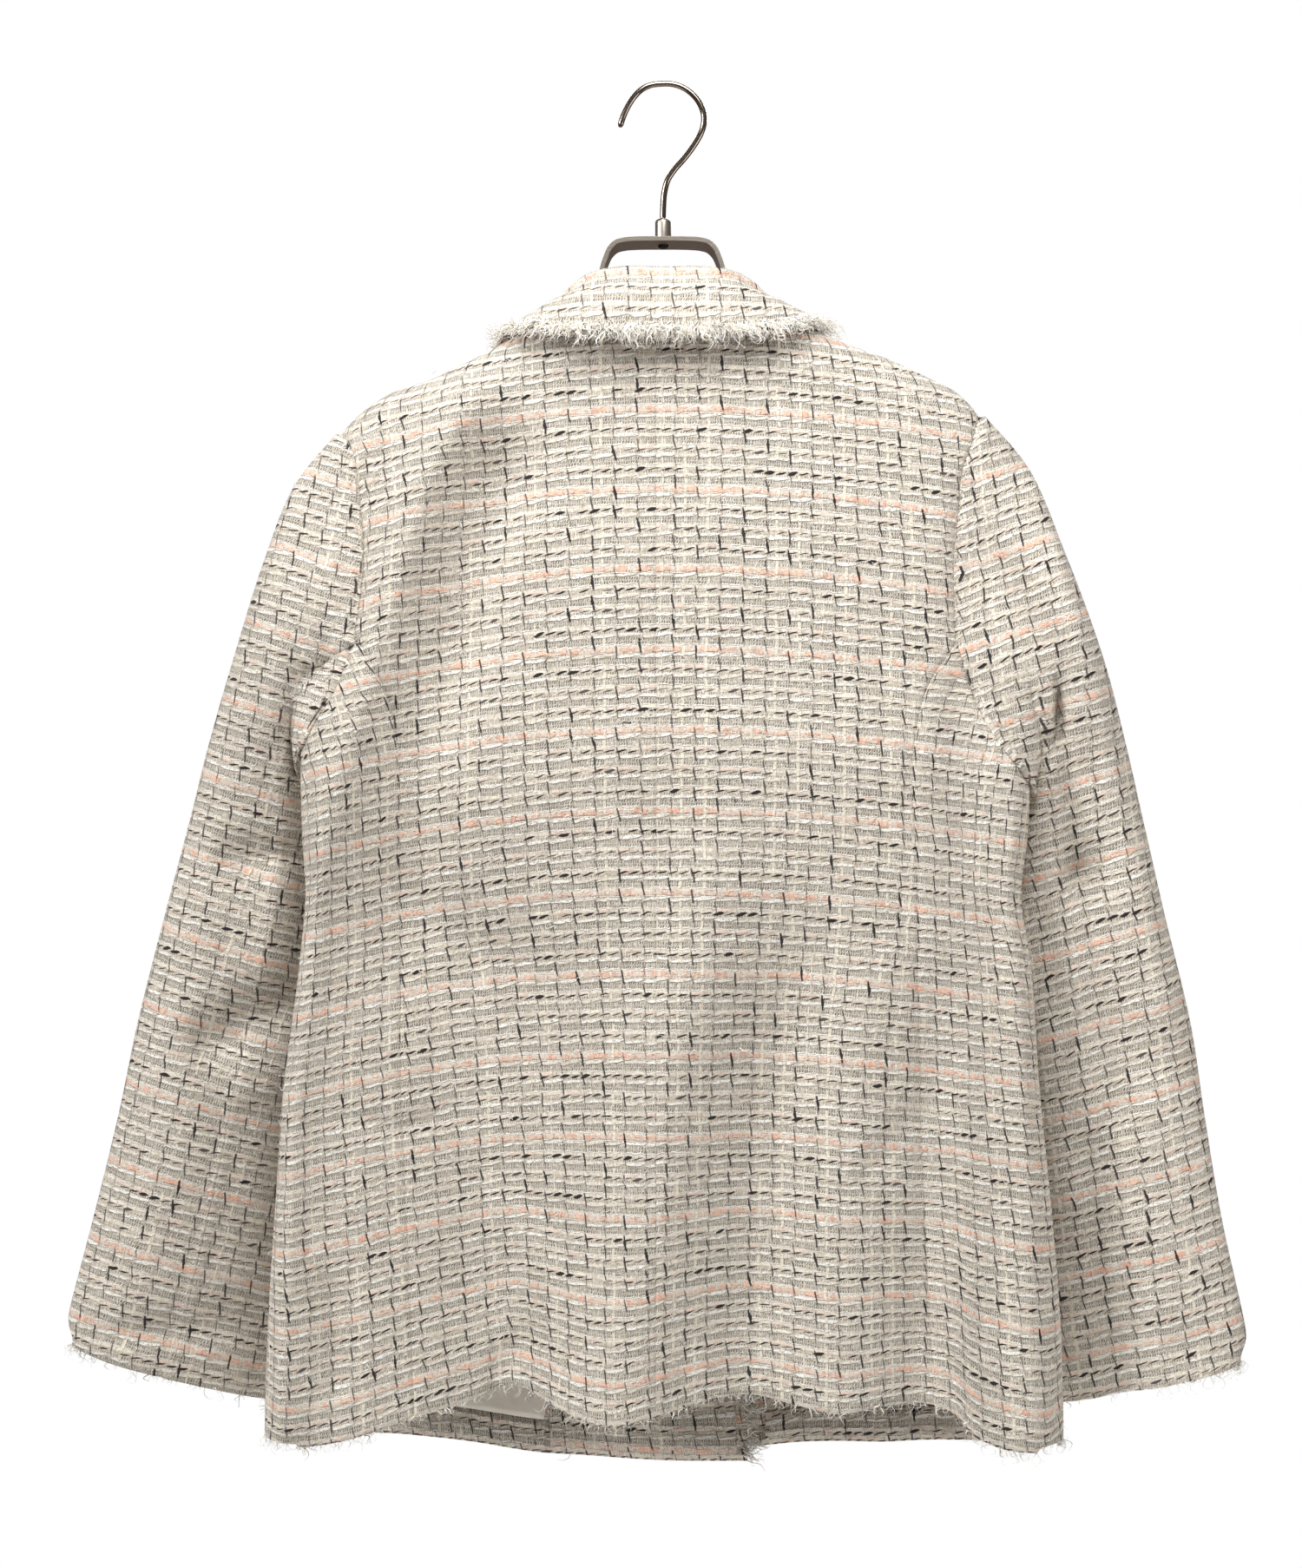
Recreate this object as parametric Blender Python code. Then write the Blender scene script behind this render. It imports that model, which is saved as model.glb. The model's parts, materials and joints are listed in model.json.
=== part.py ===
# A tweed jacket hanging on a bent steel hanger. The back faces -Y, the wearer's left is at -X.
# The origin is where the hook bears on its rail.
# Tables and sizes are in millimetres, and MM turns them into metres.
import math
from collections import namedtuple

import bmesh
import bpy
import numpy as np

MM = 0.001
CLOTH = 2.0
LINING = 1.2
SEAM_GAP = 0.3

# The torso as a closed ring at several heights. It is flat at its sides and turns there round a small edge.
Level = namedtuple("Level", "z left right side_y back front front_power")
LEVELS = (
    Level(-800, -226, 228, -22, 25, 42, 0.95),
    Level(-760, -226, 228, -22, 25, 43, 0.95),
    Level(-700, -224, 226, -22, 24, 45, 1.0),
    Level(-640, -220, 221, -22, 23, 45, 1.05),
    Level(-580, -216, 215, -22, 22, 45, 1.1),
    Level(-500, -206, 209, -22, 22, 43, 1.15),
    Level(-465, -203, 204, -22, 23, 42, 1.15),
    Level(-430, -205, 208, -21, 24, 41, 1.15),
    Level(-386, -206, 209, -19, 26, 37, 1.0),
    Level(-330, -203, 205, -13, 26, 32, 0.7),
    Level(-260, -200, 200, -9, 24, 26, 0.55),
    Level(-190, -198, 198, -6, 20, 22, 0.5),
    Level(-100, -196, 196, -6, 20, 22, 0.5),
)
EDGE_ROUND = 6.0
BACK_POWER = 0.6

# The line along the top of both shoulders. Past the neck it runs on as a dome that the collar stands in.
Point = namedtuple("Point", "x z")
SHOULDER = (
    Point(-186, -201),
    Point(-175, -190),
    Point(-160, -179),
    Point(-133, -169),
    Point(-106, -156),
    Point(-75, -139),
    Point(-40, -120),
    Point(0, -106),
    Point(40, -118),
    Point(75, -135),
    Point(102, -147),
    Point(129, -157),
    Point(153, -168),
    Point(170, -177),
    Point(183, -190),
)
SHOULDER_ROUND = 34.0
SHOULDER_POWER = 2.3
SHOULDER_TIP = {-1: -184, 1: 182}

NECK_HALF_WIDTH = 75
NECK_BACK_Z = -137
NECK_DROP = 68

BACK_HEM = (
    Point(-226, -771),
    Point(-214, -774),
    Point(-181, -771),
    Point(-152, -762),
    Point(-110, -750),
    Point(-79, -742),
    Point(-66, -749),
    Point(-43, -758),
    Point(-30, -759),
    Point(-2, -753),
    Point(28, -745),
    Point(50, -744),
    Point(77, -749),
    Point(95, -752),
    Point(132, -749),
    Point(153, -750),
    Point(165, -755),
    Point(173, -765),
    Point(186, -773),
    Point(207, -778),
    Point(221, -778),
    Point(228, -773),
)
FRONT_HEM = {
    -1: (
        Point(-226, -771),
        Point(-190, -774),
        Point(-157, -776),
        Point(-105, -785),
        Point(-59, -791),
        Point(0, -796),
        Point(52, -796),
    ),
    1: (
        Point(-56, -789),
        Point(0, -790),
        Point(56, -788),
        Point(107, -783),
        Point(153, -780),
        Point(200, -777),
        Point(228, -773),
    ),
}

# Seams that run up the torso: x of each at some heights, on the back and on the front.
Run = namedtuple("Run", "z x")
CENTRE_BACK = -3.5
SIDE_BACK = {
    -1: (Run(-780, -139), Run(-668, -143), Run(-590, -147), Run(-449, -149), Run(-371, -151),
         Run(-346, -157), Run(-321, -172)),
    1: (Run(-780, 154), Run(-668, 149), Run(-590, 146), Run(-449, 143), Run(-371, 143),
        Run(-346, 150), Run(-321, 167)),
}
SIDE_FRONT = {
    -1: (Run(-780, -188), Run(-640, -183), Run(-500, -172), Run(-386, -166), Run(-333, -164)),
    1: (Run(-780, 190), Run(-640, 184), Run(-500, 174), Run(-386, 168), Run(-333, 164)),
}
ARMHOLE_BACK = {
    -1: (Run(-382, -204), Run(-371, -199), Run(-351, -186), Run(-331, -178), Run(-300, -172),
         Run(-266, -170), Run(-244, -172), Run(-226, -174), Run(-212, -177), Run(-201, -184)),
    1: (Run(-400, 206), Run(-384, 194), Run(-366, 182), Run(-344, 173), Run(-321, 167),
        Run(-300, 166), Run(-260, 167), Run(-244, 169), Run(-223, 171), Run(-209, 176), Run(-190, 182)),
}
ARMHOLE_FRONT = {
    -1: (Run(-382, -202), Run(-368, -190), Run(-352, -174), Run(-333, -164), Run(-300, -160),
         Run(-260, -162), Run(-226, -169), Run(-201, -184)),
    1: (Run(-400, 204), Run(-380, 190), Run(-357, 174), Run(-333, 164), Run(-300, 159),
        Run(-260, 160), Run(-220, 168), Run(-190, 182)),
}
UNDERARM_Z = {-1: -382, 1: -400}
# The side seams end at the armhole here, and HEM_LINE is the level at which the hem's width is read.
JOIN_BACK_Z = -321
JOIN_FRONT_Z = -333
HEM_LINE = -780.0

# Each front's free edge, from the neck down. The left front lies inside the right one.
FRONT_EDGE = (Run(-800, 50), Run(-650, 42), Run(-400, 26), Run(-205, 10))
LAP = 3.4
LAP_START, LAP_END = 66, 96

# Soft folds: a line from one end to the other, its half width, and how far it stands out (or in).
Fold = namedtuple("Fold", "x0 z0 x1 z1 width height")
BACK_FOLDS = (
    Fold(-82, -190, -138, -300, 13, -6),
    Fold(-138, -300, -148, -392, 13, -7),
    Fold(-148, -392, -178, -480, 13, -5),
    Fold(-172, -262, -176, -372, 11, 5),
    Fold(-196, -385, -196, -410, 12, 4),
    Fold(-196, -480, -212, -745, 8, 3),
    Fold(-50, -560, -52, -760, 22, 6),
    Fold(6, -520, 10, -720, 20, -6),
    Fold(76, -560, 78, -760, 20, 5),
    Fold(128, -540, 130, -720, 17, -6),
    Fold(192, -390, 196, -440, 12, 4),
    Fold(-186, -596, -112, -586, 7, -2),
    Fold(-184, -690, -186, -740, 9, -4),
    Fold(180, -700, 200, -770, 14, 4),
)
FRONT_FOLDS = (
    Fold(-120, -520, -112, -790, 20, 5),
    Fold(-66, -560, -70, -790, 18, -4),
    Fold(80, -520, 84, -790, 20, 5),
    Fold(130, -560, 128, -780, 16, -4),
    Fold(-110, -210, -90, -420, 22, -3),
    Fold(110, -205, 92, -420, 22, -3),
)
# Sleeve folds are placed by station along the sleeve and by the angle round it, 90 being behind.
SleeveFold = namedtuple("SleeveFold", "station angle length spread height")
SLEEVE_FOLDS = {
    -1: (
        SleeveFold(2.4, 72, 1.3, 24, -5),
        SleeveFold(4.6, 95, 0.6, 26, -4),
        SleeveFold(6.4, 88, 0.5, 30, -4),
        SleeveFold(10.1, 100, 0.5, 34, -4),
        SleeveFold(8.0, 60, 1.6, 22, 2),
    ),
    1: (
        SleeveFold(1.6, 70, 0.8, 26, -5),
        SleeveFold(3.6, 92, 1.5, 22, -4),
        SleeveFold(7.0, 85, 2.0, 24, 3),
        SleeveFold(9.9, 105, 0.6, 30, -3),
    ),
}

# Each sleeve between its outer and inner line, with the depth of its middle and half its thickness.
Station = namedtuple("Station", "outer_x outer_z inner_x inner_z middle_y half_depth")
SLEEVES = {
    -1: (
        Station(-184, -200, -203, -381, -14, 20),
        Station(-213, -232, -209, -393, -5, 30),
        Station(-230, -275, -207, -406, 6, 35),
        Station(-245, -330, -198, -418, 17, 36),
        Station(-260, -378, -184, -438, 25, 35),
        Station(-272, -424, -177, -468, 29, 33),
        Station(-286, -478, -176, -516, 29, 31),
        Station(-301, -538, -187, -574, 28, 29),
        Station(-312, -592, -199, -630, 26, 27),
        Station(-325, -647, -211, -687, 24, 25),
        Station(-338, -698, -222, -737, 22, 22),
        Station(-344, -724, -227, -763, 21, 20),
    ),
    1: (
        Station(182, -189, 205, -399, -14, 20),
        Station(212, -222, 212, -410, -5, 30),
        Station(231, -272, 210, -421, 6, 35),
        Station(249, -330, 201, -432, 17, 36),
        Station(263, -378, 188, -448, 25, 35),
        Station(274, -424, 180, -473, 29, 33),
        Station(286, -478, 180, -516, 29, 31),
        Station(300, -538, 190, -573, 28, 29),
        Station(308, -592, 199, -628, 26, 27),
        Station(317, -648, 208, -684, 24, 25),
        Station(329, -704, 219, -738, 22, 22),
        Station(334, -731, 224, -764, 21, 20),
    ),
}
UNDERARM_LIFT, UNDERARM_REACH = 2.6, 26.0
# The sleeve's seams by their angle at the armhole and at the cuff, and how far the armhole pulls.
SEAM_BACK_START, SEAM_BACK_ANGLE = 134, 92
SEAM_FRONT_START, SEAM_FRONT_ANGLE = 235, 222
UNDERARM_ANGLE = 165
PULL_STATIONS, TWIST_STATIONS = 2.4, 3

# The collar from the centre back round to its front ends: the top fold, then the leaf's free edge.
Leaf = namedtuple("Leaf", "key fold_x fold_y fold_z edge_x edge_y edge_z left_drop")
COLLAR = (
    Leaf(0.0, 0, -27, -108, 0, -44, -148, 0),
    Leaf(0.35, 26, -26, -108, 32, -44, -147, 0),
    Leaf(0.6, 42, -20, -110, 60, -39, -145, 1),
    Leaf(0.85, 55, -8, -117, 82, -25, -139, 3),
    Leaf(1.0, 62, 3, -124, 92, -4, -136, 5),
    Leaf(1.15, 62, 10, -130, 93, 14, -139, 5),
    Leaf(1.35, 59, 18, -142, 88, 29, -156, 5),
    Leaf(1.65, 40, 27, -167, 64, 34, -190, 2),
    Leaf(2.0, 8, 31, -186, 14, 38, -224, 0),
)
COLLAR_TURN = 3.4
COLLAR_SWELL_OUT, COLLAR_SWELL_UP = 3.0, 1.5

# Frayed trims: a narrow woven root beside the cloth's edge, and the yarns that hang out of it.
TRIM_GAP = 0.5
TRIM_SUNK = 0.35
TRIM_WIDTH = 2.4
TRIM_THICKNESS = 1.3
Trim = namedtuple("Trim", "strands length width droop")
COLLAR_TRIM = Trim(58, 10, 1.5, 0.0)
FRONT_TRIM = Trim(30, 11, 1.5, 0.35)

# Hanger: a steel band bent into an arch and run on under both shoulders, with a hook in a ferrule.
BAND_THICKNESS = 2.5
BAND_HALF_DEPTH = 15.0
NECK_HALF_DEPTH = 6.0
ARCH = (
    Point(0, -89),
    Point(24, -89),
    Point(29, -91.5),
    Point(32, -98),
    Point(37, -110),
    Point(43, -121),
    Point(52, -134),
    Point(63, -143),
    Point(76, -147),
)
ARM_DROP_LEFT = 4.0
ARM_START, ARM_END = 0.45, 0.35
HOOK_WIRE = 3.5
# Middle line of the hook's wire, from its tip round to the ferrule. The inside of its top is at z 0.
HOOK_LINE = (
    Point(-24.4, -23.2),
    Point(-22.6, -17.4),
    Point(-20.0, -11.7),
    Point(-16.6, -6.3),
    Point(-12.2, -1.8),
    Point(-6.8, 0.9),
    Point(-0.8, 1.75),
    Point(5.0, 1.7),
    Point(10.4, 0.3),
    Point(14.9, -2.2),
    Point(19.0, -5.9),
    Point(22.2, -10.8),
    Point(23.9, -16.0),
    Point(23.9, -21.2),
    Point(22.4, -26.4),
    Point(19.7, -31.5),
    Point(16.4, -36.4),
    Point(12.2, -41.8),
    Point(7.1, -47.6),
    Point(3.1, -53.8),
    Point(1.2, -61.0),
    Point(0.5, -70.0),
    Point(0.5, -88.6),
)
HOOK_STEPS = 34
FERRULE_RADIUS, FERRULE_HEIGHT, FERRULE_BORE = 4.6, 12.5, 2.1
RIVET_RADIUS, RIVET_HEIGHT, RIVET_BORE = 3.2, 1.8, 0.4
SHARP_ANGLE = 45

# How finely the cloth is divided.
BODY_ROWS, ARMHOLE_ROWS = 11, 8
TOP_CROWDING = 2.2
BACK_NECK_COLUMNS, FRONT_NECK_COLUMNS, SHOULDER_COLUMNS = 5, 5, 5
SIDE_COLUMNS = 8
SLEEVE_ROWS = 17
BAND_COLUMNS = 5
HEM_TURN_UP = 18
LINING_ROWS = 2
FACING_ROWS, FACING_COLUMNS = 3, 5
# How far the linings stay back from the hem, from a seam or free edge, and from the other front.
HEM_SET_BACK, EDGE_SET_BACK, LAP_CLEARANCE = 3, 2, 9


def through(keys, values, at):
    """A smooth curve through the values, read at a key."""
    keys, values = np.asarray(keys, float), np.asarray(values, float)
    at = np.clip(at, keys[0], keys[-1])
    slopes = np.gradient(values, keys)
    k = np.clip(np.searchsorted(keys, at, side="right") - 1, 0, len(keys) - 2)
    step = keys[k + 1] - keys[k]
    f = (at - keys[k]) / step
    start = (1 + 2 * f) * (1 - f) ** 2 * values[k] + f * (1 - f) ** 2 * step * slopes[k]
    return start + f * f * (3 - 2 * f) * values[k + 1] - f * f * (1 - f) * step * slopes[k + 1]


def column(table, key, value, at):
    return through([getattr(row, key) for row in table], [getattr(row, value) for row in table], at)


def smooth_step(low, high, at):
    f = np.clip((at - low) / (high - low), 0, 1)
    return f * f * (3 - 2 * f)


def fold_height(folds, x, z):
    height = np.zeros(np.broadcast(x, z).shape)
    for fold in folds:
        run = np.array([fold.x1 - fold.x0, fold.z1 - fold.z0], float)
        along = np.clip(((x - fold.x0) * run[0] + (z - fold.z0) * run[1]) / (run @ run), 0, 1)
        away = (x - fold.x0 - along * run[0]) ** 2 + (z - fold.z0 - along * run[1]) ** 2
        height += fold.height * np.exp(-away / fold.width**2)
    return height


def half_and_centre(z):
    left, right = column(LEVELS, "z", "left", z), column(LEVELS, "z", "right", z)
    return (right - left) / 2, (left + right) / 2


def torso(side, p, z):
    """The outer face. p is the way round from the middle of the back, over the side, to the front's."""
    half, centre = half_and_centre(z)
    flat = half - EDGE_ROUND
    turn = np.clip((p - flat) / EDGE_ROUND, 0, math.pi)
    after = 2 * flat + math.pi * EDGE_ROUND - p
    reach = np.where(turn <= 0, p, np.where(turn >= math.pi, after, flat + EDGE_ROUND * np.sin(turn)))
    x = centre + side * reach
    fullness = np.clip(1 - (reach / half) ** 2, 0, 1)
    inside = np.clip(fullness / 0.1, 0, 1)
    behind = column(LEVELS, "z", "back", z) * fullness**BACK_POWER
    behind = behind + inside * fold_height(BACK_FOLDS, x, z)
    before = column(LEVELS, "z", "front", z) * fullness ** column(LEVELS, "z", "front_power", z)
    before = before + inside * fold_height(FRONT_FOLDS, x, z)
    if side > 0:
        before = before + LAP * smooth_step(-LAP_END, -LAP_START, -x)
    y = column(LEVELS, "z", "side_y", z) - EDGE_ROUND * np.cos(turn)
    y = y + np.where(turn < math.pi / 2, -behind, before)
    drop = np.clip((column(SHOULDER, "x", "z", x) - z) / SHOULDER_ROUND, 0, 1)
    swell = (1 - (1 - drop) ** SHOULDER_POWER) ** (1 / SHOULDER_POWER)
    return np.stack([x, y * swell, z + 0 * x], axis=-1)


def torso_normals(side, p, z, step=0.4):
    across = torso(side, p + step, z) - torso(side, p - step, z)
    up = torso(side, p, z + step) - torso(side, p, z - step)
    normals = side * np.cross(across, up)
    return normals / np.linalg.norm(normals, axis=-1, keepdims=True)


def back_p(side, x, z):
    half, centre = half_and_centre(z)
    flat = half - EDGE_ROUND
    reach = side * (x - centre)
    turn = np.arcsin(np.clip((reach - flat) / EDGE_ROUND, 0, 1))
    return np.where(reach <= flat, reach, flat + EDGE_ROUND * turn)


def front_p(side, x, z):
    half, _ = half_and_centre(z)
    return 2 * (half - EDGE_ROUND) + math.pi * EDGE_ROUND - back_p(side, x, z)


def lerp(a, b, f):
    return a + (b - a) * f


def neck_z(side, x, front):
    if not front:
        return NECK_BACK_Z + 0 * x
    across = np.clip(side * x / NECK_HALF_WIDTH, 0, 1)
    return NECK_BACK_Z - NECK_DROP * np.sqrt(np.clip(1 - across**2, 0, 1))


def panel_rows(bottom, join, top):
    """Heights of every row: the hem's turn-up, up to the side seam's end, then closer to the top."""
    turned_up = bottom + HEM_TURN_UP
    lower = [lerp(turned_up, join, i / (BODY_ROWS - 1)) for i in range(BODY_ROWS)]
    upper = []
    for i in range(1, ARMHOLE_ROWS + 1):
        upper.append(lerp(join, top, 1 - (1 - i / ARMHOLE_ROWS) ** TOP_CROWDING))
    return np.array([bottom] + lower + upper)


def panel(side, front):
    """Positions and normals of a back or a front: rows from the hem up, columns from the middle out."""
    seam = (SIDE_FRONT if front else SIDE_BACK)[side]
    hole = (ARMHOLE_FRONT if front else ARMHOLE_BACK)[side]
    join = JOIN_FRONT_Z if front else JOIN_BACK_Z
    tip_x = SHOULDER_TIP[side]
    tip_z = float(column(SHOULDER, "x", "z", tip_x))

    def inner_x(z):
        return -side * column(FRONT_EDGE, "z", "x", z) if front else CENTRE_BACK + 0 * z

    def outer_x(z):
        low = column(seam, "z", "x", z)
        high = np.where(z < tip_z, column(hole, "z", "x", z), tip_x)
        return np.where(z <= join, low, high)

    neck_columns = FRONT_NECK_COLUMNS if front else BACK_NECK_COLUMNS
    start = float(inner_x(np.array(NECK_BACK_Z - NECK_DROP)))
    if front:
        first_turn = math.asin(start / NECK_HALF_WIDTH)
        turns = [lerp(first_turn, side * math.pi / 2, i / neck_columns) for i in range(neck_columns + 1)]
        neck_x = [NECK_HALF_WIDTH * math.sin(turn) for turn in turns]
    else:
        neck_x = list(np.linspace(start, side * NECK_HALF_WIDTH, neck_columns + 1))
    shoulder_x = list(np.linspace(side * NECK_HALF_WIDTH, tip_x, SHOULDER_COLUMNS + 1))
    top_x = np.array(neck_x + shoulder_x[1:])
    shares = (top_x - start) / (tip_x - start)
    top_z = np.where(
        np.arange(len(top_x)) < neck_columns,
        neck_z(side, top_x, front),
        column(SHOULDER, "x", "z", top_x),
    )
    hem = FRONT_HEM[side] if front else BACK_HEM
    hem_level = np.full(len(shares), HEM_LINE)
    hem_x = lerp(inner_x(hem_level), outer_x(hem_level), shares)
    bottom_z = column(hem, "x", "z", hem_x)
    z = panel_rows(bottom_z, np.full(len(shares), float(join)), top_z)
    x = lerp(inner_x(z), outer_x(z), shares)
    x[BODY_ROWS] = lerp(inner_x(z[BODY_ROWS]), column(seam, "z", "x", z[BODY_ROWS]), shares)
    x[-1] = top_x
    p = front_p(side, x, z) if front else back_p(side, x, z)
    return torso(side, p, z), level_at_shoulder(torso_normals(side, p, z), neck_columns)


def level_at_shoulder(normals, neck_columns):
    """Along the shoulder seam both pieces are cut square to the seam."""
    normals[-1, neck_columns:, 1] = 0
    return normals / np.linalg.norm(normals, axis=-1, keepdims=True)


def side_panel(side, back_edge, front_edge):
    """The panel under the arm, between the side-back seam and the side-front seam."""

    def seams(z):
        from_back = back_p(side, column(SIDE_BACK[side], "z", "x", z), z)
        return from_back, front_p(side, column(SIDE_FRONT[side], "z", "x", z), z)

    rows = back_edge.shape[0]
    hole_z = np.linspace(UNDERARM_Z[side] + 0.01, JOIN_BACK_Z, 60)
    from_back, from_front = seams(hole_z)
    behind = back_p(side, column(ARMHOLE_BACK[side], "z", "x", hole_z), hole_z)
    before = front_p(side, column(ARMHOLE_FRONT[side], "z", "x", hole_z), hole_z)
    share_behind = (behind - from_back) / (from_front - from_back)
    share_before = (before - from_back) / (from_front - from_back)
    shares = np.linspace(0, 1, SIDE_COLUMNS + 1)
    low_share, high_share = share_behind[0], share_before[0]
    top_z = np.where(
        shares < (low_share + high_share) / 2,
        np.interp(shares, share_behind[::-1], hole_z[::-1]),
        np.interp(shares, share_before, hole_z),
    )
    top_z[0], top_z[-1] = JOIN_BACK_Z, JOIN_FRONT_Z
    hem_level = np.full(shares.shape, HEM_LINE)
    hem_x = torso(side, lerp(*seams(hem_level), shares), hem_level)[..., 0]
    hem_z = np.where(
        shares < 0.5,
        column(BACK_HEM, "x", "z", hem_x),
        column(FRONT_HEM[side], "x", "z", hem_x),
    )
    hem_z[0], hem_z[-1] = back_edge[0, 2], front_edge[0, 2]
    z = panel_rows(hem_z, top_z, top_z)[:rows]
    p = lerp(*seams(z), shares)
    return torso(side, p, z), torso_normals(side, p, z)


def inset(points, first_row=0.0, last_row=0.0, first_column=0.0, last_column=0.0):
    """The same sheet cut back along its edges by these widths."""
    points = points.copy()
    by_column = points.swapaxes(0, 1)
    for lines, place, near, width in (
        (points, 0, 1, first_row),
        (points, -1, -2, last_row),
        (by_column, 0, 1, first_column),
        (by_column, -1, -2, last_column),
    ):
        if width:
            toward = lines[near] - lines[place]
            lines[place] += toward * (width / np.linalg.norm(toward, axis=-1, keepdims=True))
    return points


def material(name, colour, roughness, metallic=0.0):
    made = bpy.data.materials.new(name)
    made.use_nodes = True
    shader = made.node_tree.nodes["Principled BSDF"]
    shader.inputs["Base Color"].default_value = (*colour, 1.0)
    shader.inputs["Roughness"].default_value = roughness
    shader.inputs["Metallic"].default_value = metallic
    return made


def add_mesh(name, vertices, faces, look):
    """A closed mesh object with its faces turned out."""
    vertices = np.asarray(vertices, float) * MM
    volume = 0.0
    for face in faces:
        corner = vertices[face[0]]
        for a, b in zip(face[1:-1], face[2:]):
            volume += float(np.dot(corner, np.cross(vertices[a], vertices[b])))
    if volume < 0:
        faces = [tuple(reversed(face)) for face in faces]
    mesh = bpy.data.meshes.new(name)
    mesh.from_pydata([tuple(vertex) for vertex in vertices], [], faces)
    mesh.materials.append(look)
    mesh.shade_smooth()
    mesh.set_sharp_from_angle(angle=math.radians(SHARP_ANGLE))
    made = bpy.data.objects.new(name, mesh)
    bpy.context.scene.collection.objects.link(made)
    return made


def cloth(name, outer, normals, look, thickness=CLOTH, sunk=0.0):
    """A sheet of cloth: a grid of points on its outer face, carried inwards by its thickness."""
    rows, columns = outer.shape[:2]
    top = outer - normals * sunk
    below = outer - normals * (sunk + thickness)
    vertices = np.concatenate([top.reshape(-1, 3), below.reshape(-1, 3)])
    under = rows * columns
    faces = []
    for i in range(rows - 1):
        for j in range(columns - 1):
            a, b = i * columns + j, i * columns + j + 1
            c, d = b + columns, a + columns
            faces.append((a, b, c, d))
            faces.append((a + under, d + under, c + under, b + under))
    rim = [j for j in range(columns)]
    rim += [i * columns + columns - 1 for i in range(1, rows)]
    rim += [(rows - 1) * columns + j for j in range(columns - 2, -1, -1)]
    rim += [i * columns for i in range(rows - 2, 0, -1)]
    for a, b in zip(rim, rim[1:] + rim[:1]):
        # The cut edges of two pieces that meet are split along the same diagonal.
        if a < b:
            faces += [(b, a, b + under), (a, a + under, b + under)]
        else:
            faces += [(b, a, a + under), (b, a + under, b + under)]
    return add_mesh(name, vertices, faces, look)


def armhole(side, back, side_piece, front):
    """The armhole's edge once round: down the back from the shoulder, under the arm, up the front."""
    join = BODY_ROWS
    points = [back[0][i, -1] for i in range(back[0].shape[0] - 1, join, -1)]
    normals = [back[1][i, -1] for i in range(back[0].shape[0] - 1, join, -1)]
    points += list(side_piece[0][-1])
    normals += list(side_piece[1][-1])
    points += [front[0][i, -1] for i in range(join + 1, front[0].shape[0] - 1)]
    normals += [front[1][i, -1] for i in range(join + 1, front[0].shape[0] - 1)]
    return np.array(points), np.array(normals)


def sleeve_model(side, s, angles):
    """A sleeve's outer face without its armhole, at stations s and angles in degrees."""
    table = SLEEVES[side]
    keys = range(len(table))

    def read(name):
        return through(keys, [getattr(row, name) for row in table], s)

    turn = np.radians(angles)
    zero = 0 * s
    outer = np.stack([read("outer_x"), zero, read("outer_z")], axis=-1)
    inner = np.stack([read("inner_x"), zero, read("inner_z")], axis=-1)
    middle, half = (outer + inner) / 2, (outer - inner) / 2
    depth = np.array(read("half_depth"))
    for fold in SLEEVE_FOLDS[side]:
        near = ((s - fold.station) / fold.length) ** 2 + ((angles - fold.angle) / fold.spread) ** 2
        depth = depth + fold.height * np.exp(-near)
    points = middle + half * np.cos(turn)[..., None]
    points[..., 1] = read("middle_y") - depth * np.sin(turn)
    return points


def sleeve(side, hole, hole_normals):
    """Positions and normals of the whole sleeve: a row to a station, a column to each armhole point."""
    run = np.roll(hole, -1, axis=0) - np.roll(hole, 1, axis=0)
    away = -side * np.cross(run, hole_normals)
    away /= np.linalg.norm(away, axis=-1, keepdims=True)
    # Under the arm the sleeve folds down over the side panel, so it starts clear of that panel's face.
    above = hole[:, 2] - hole[:, 2].min()
    lift = UNDERARM_LIFT * np.exp(-((above / UNDERARM_REACH) ** 2))
    start = hole + SEAM_GAP * away + hole_normals * lift[:, None]
    steps = np.linalg.norm(np.diff(np.vstack([hole, hole[:1]]), axis=0), axis=1)
    along = np.concatenate([[0], np.cumsum(steps)[:-1]])
    lowest = int(np.argmin(hole[:, 2]))
    whole = steps.sum()
    first = np.where(
        np.arange(len(hole)) <= lowest,
        180 * along / along[lowest],
        180 + 180 * (along - along[lowest]) / (whole - along[lowest]),
    )
    seam_back = int(np.argmin(abs(first - SEAM_BACK_START)))
    seam_front = int(np.argmin(abs(first - SEAM_FRONT_START)))
    last = np.interp(
        first,
        [0, first[seam_back], 180, first[seam_front], 360],
        [0, SEAM_BACK_ANGLE, UNDERARM_ANGLE, SEAM_FRONT_ANGLE, 360],
    )
    stations = np.linspace(0, len(SLEEVES[side]) - 1, SLEEVE_ROWS + 1)
    s = stations[:, None] + 0 * first[None, :]
    angles = lerp(first[None, :], last[None, :], smooth_step(0, TWIST_STATIONS, s))
    points = sleeve_model(side, s, angles)
    pull = np.clip(1 - s / PULL_STATIONS, 0, 1) ** 2
    points = points + pull[..., None] * (start - points[0])[None, :, :]
    around = np.roll(points, -1, axis=1) - np.roll(points, 1, axis=1)
    down = np.gradient(points, axis=0)
    normals = side * np.cross(down, around)
    normals /= np.linalg.norm(normals, axis=-1, keepdims=True)
    normals[0] = hole_normals
    return points, normals, seam_back, seam_front


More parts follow.
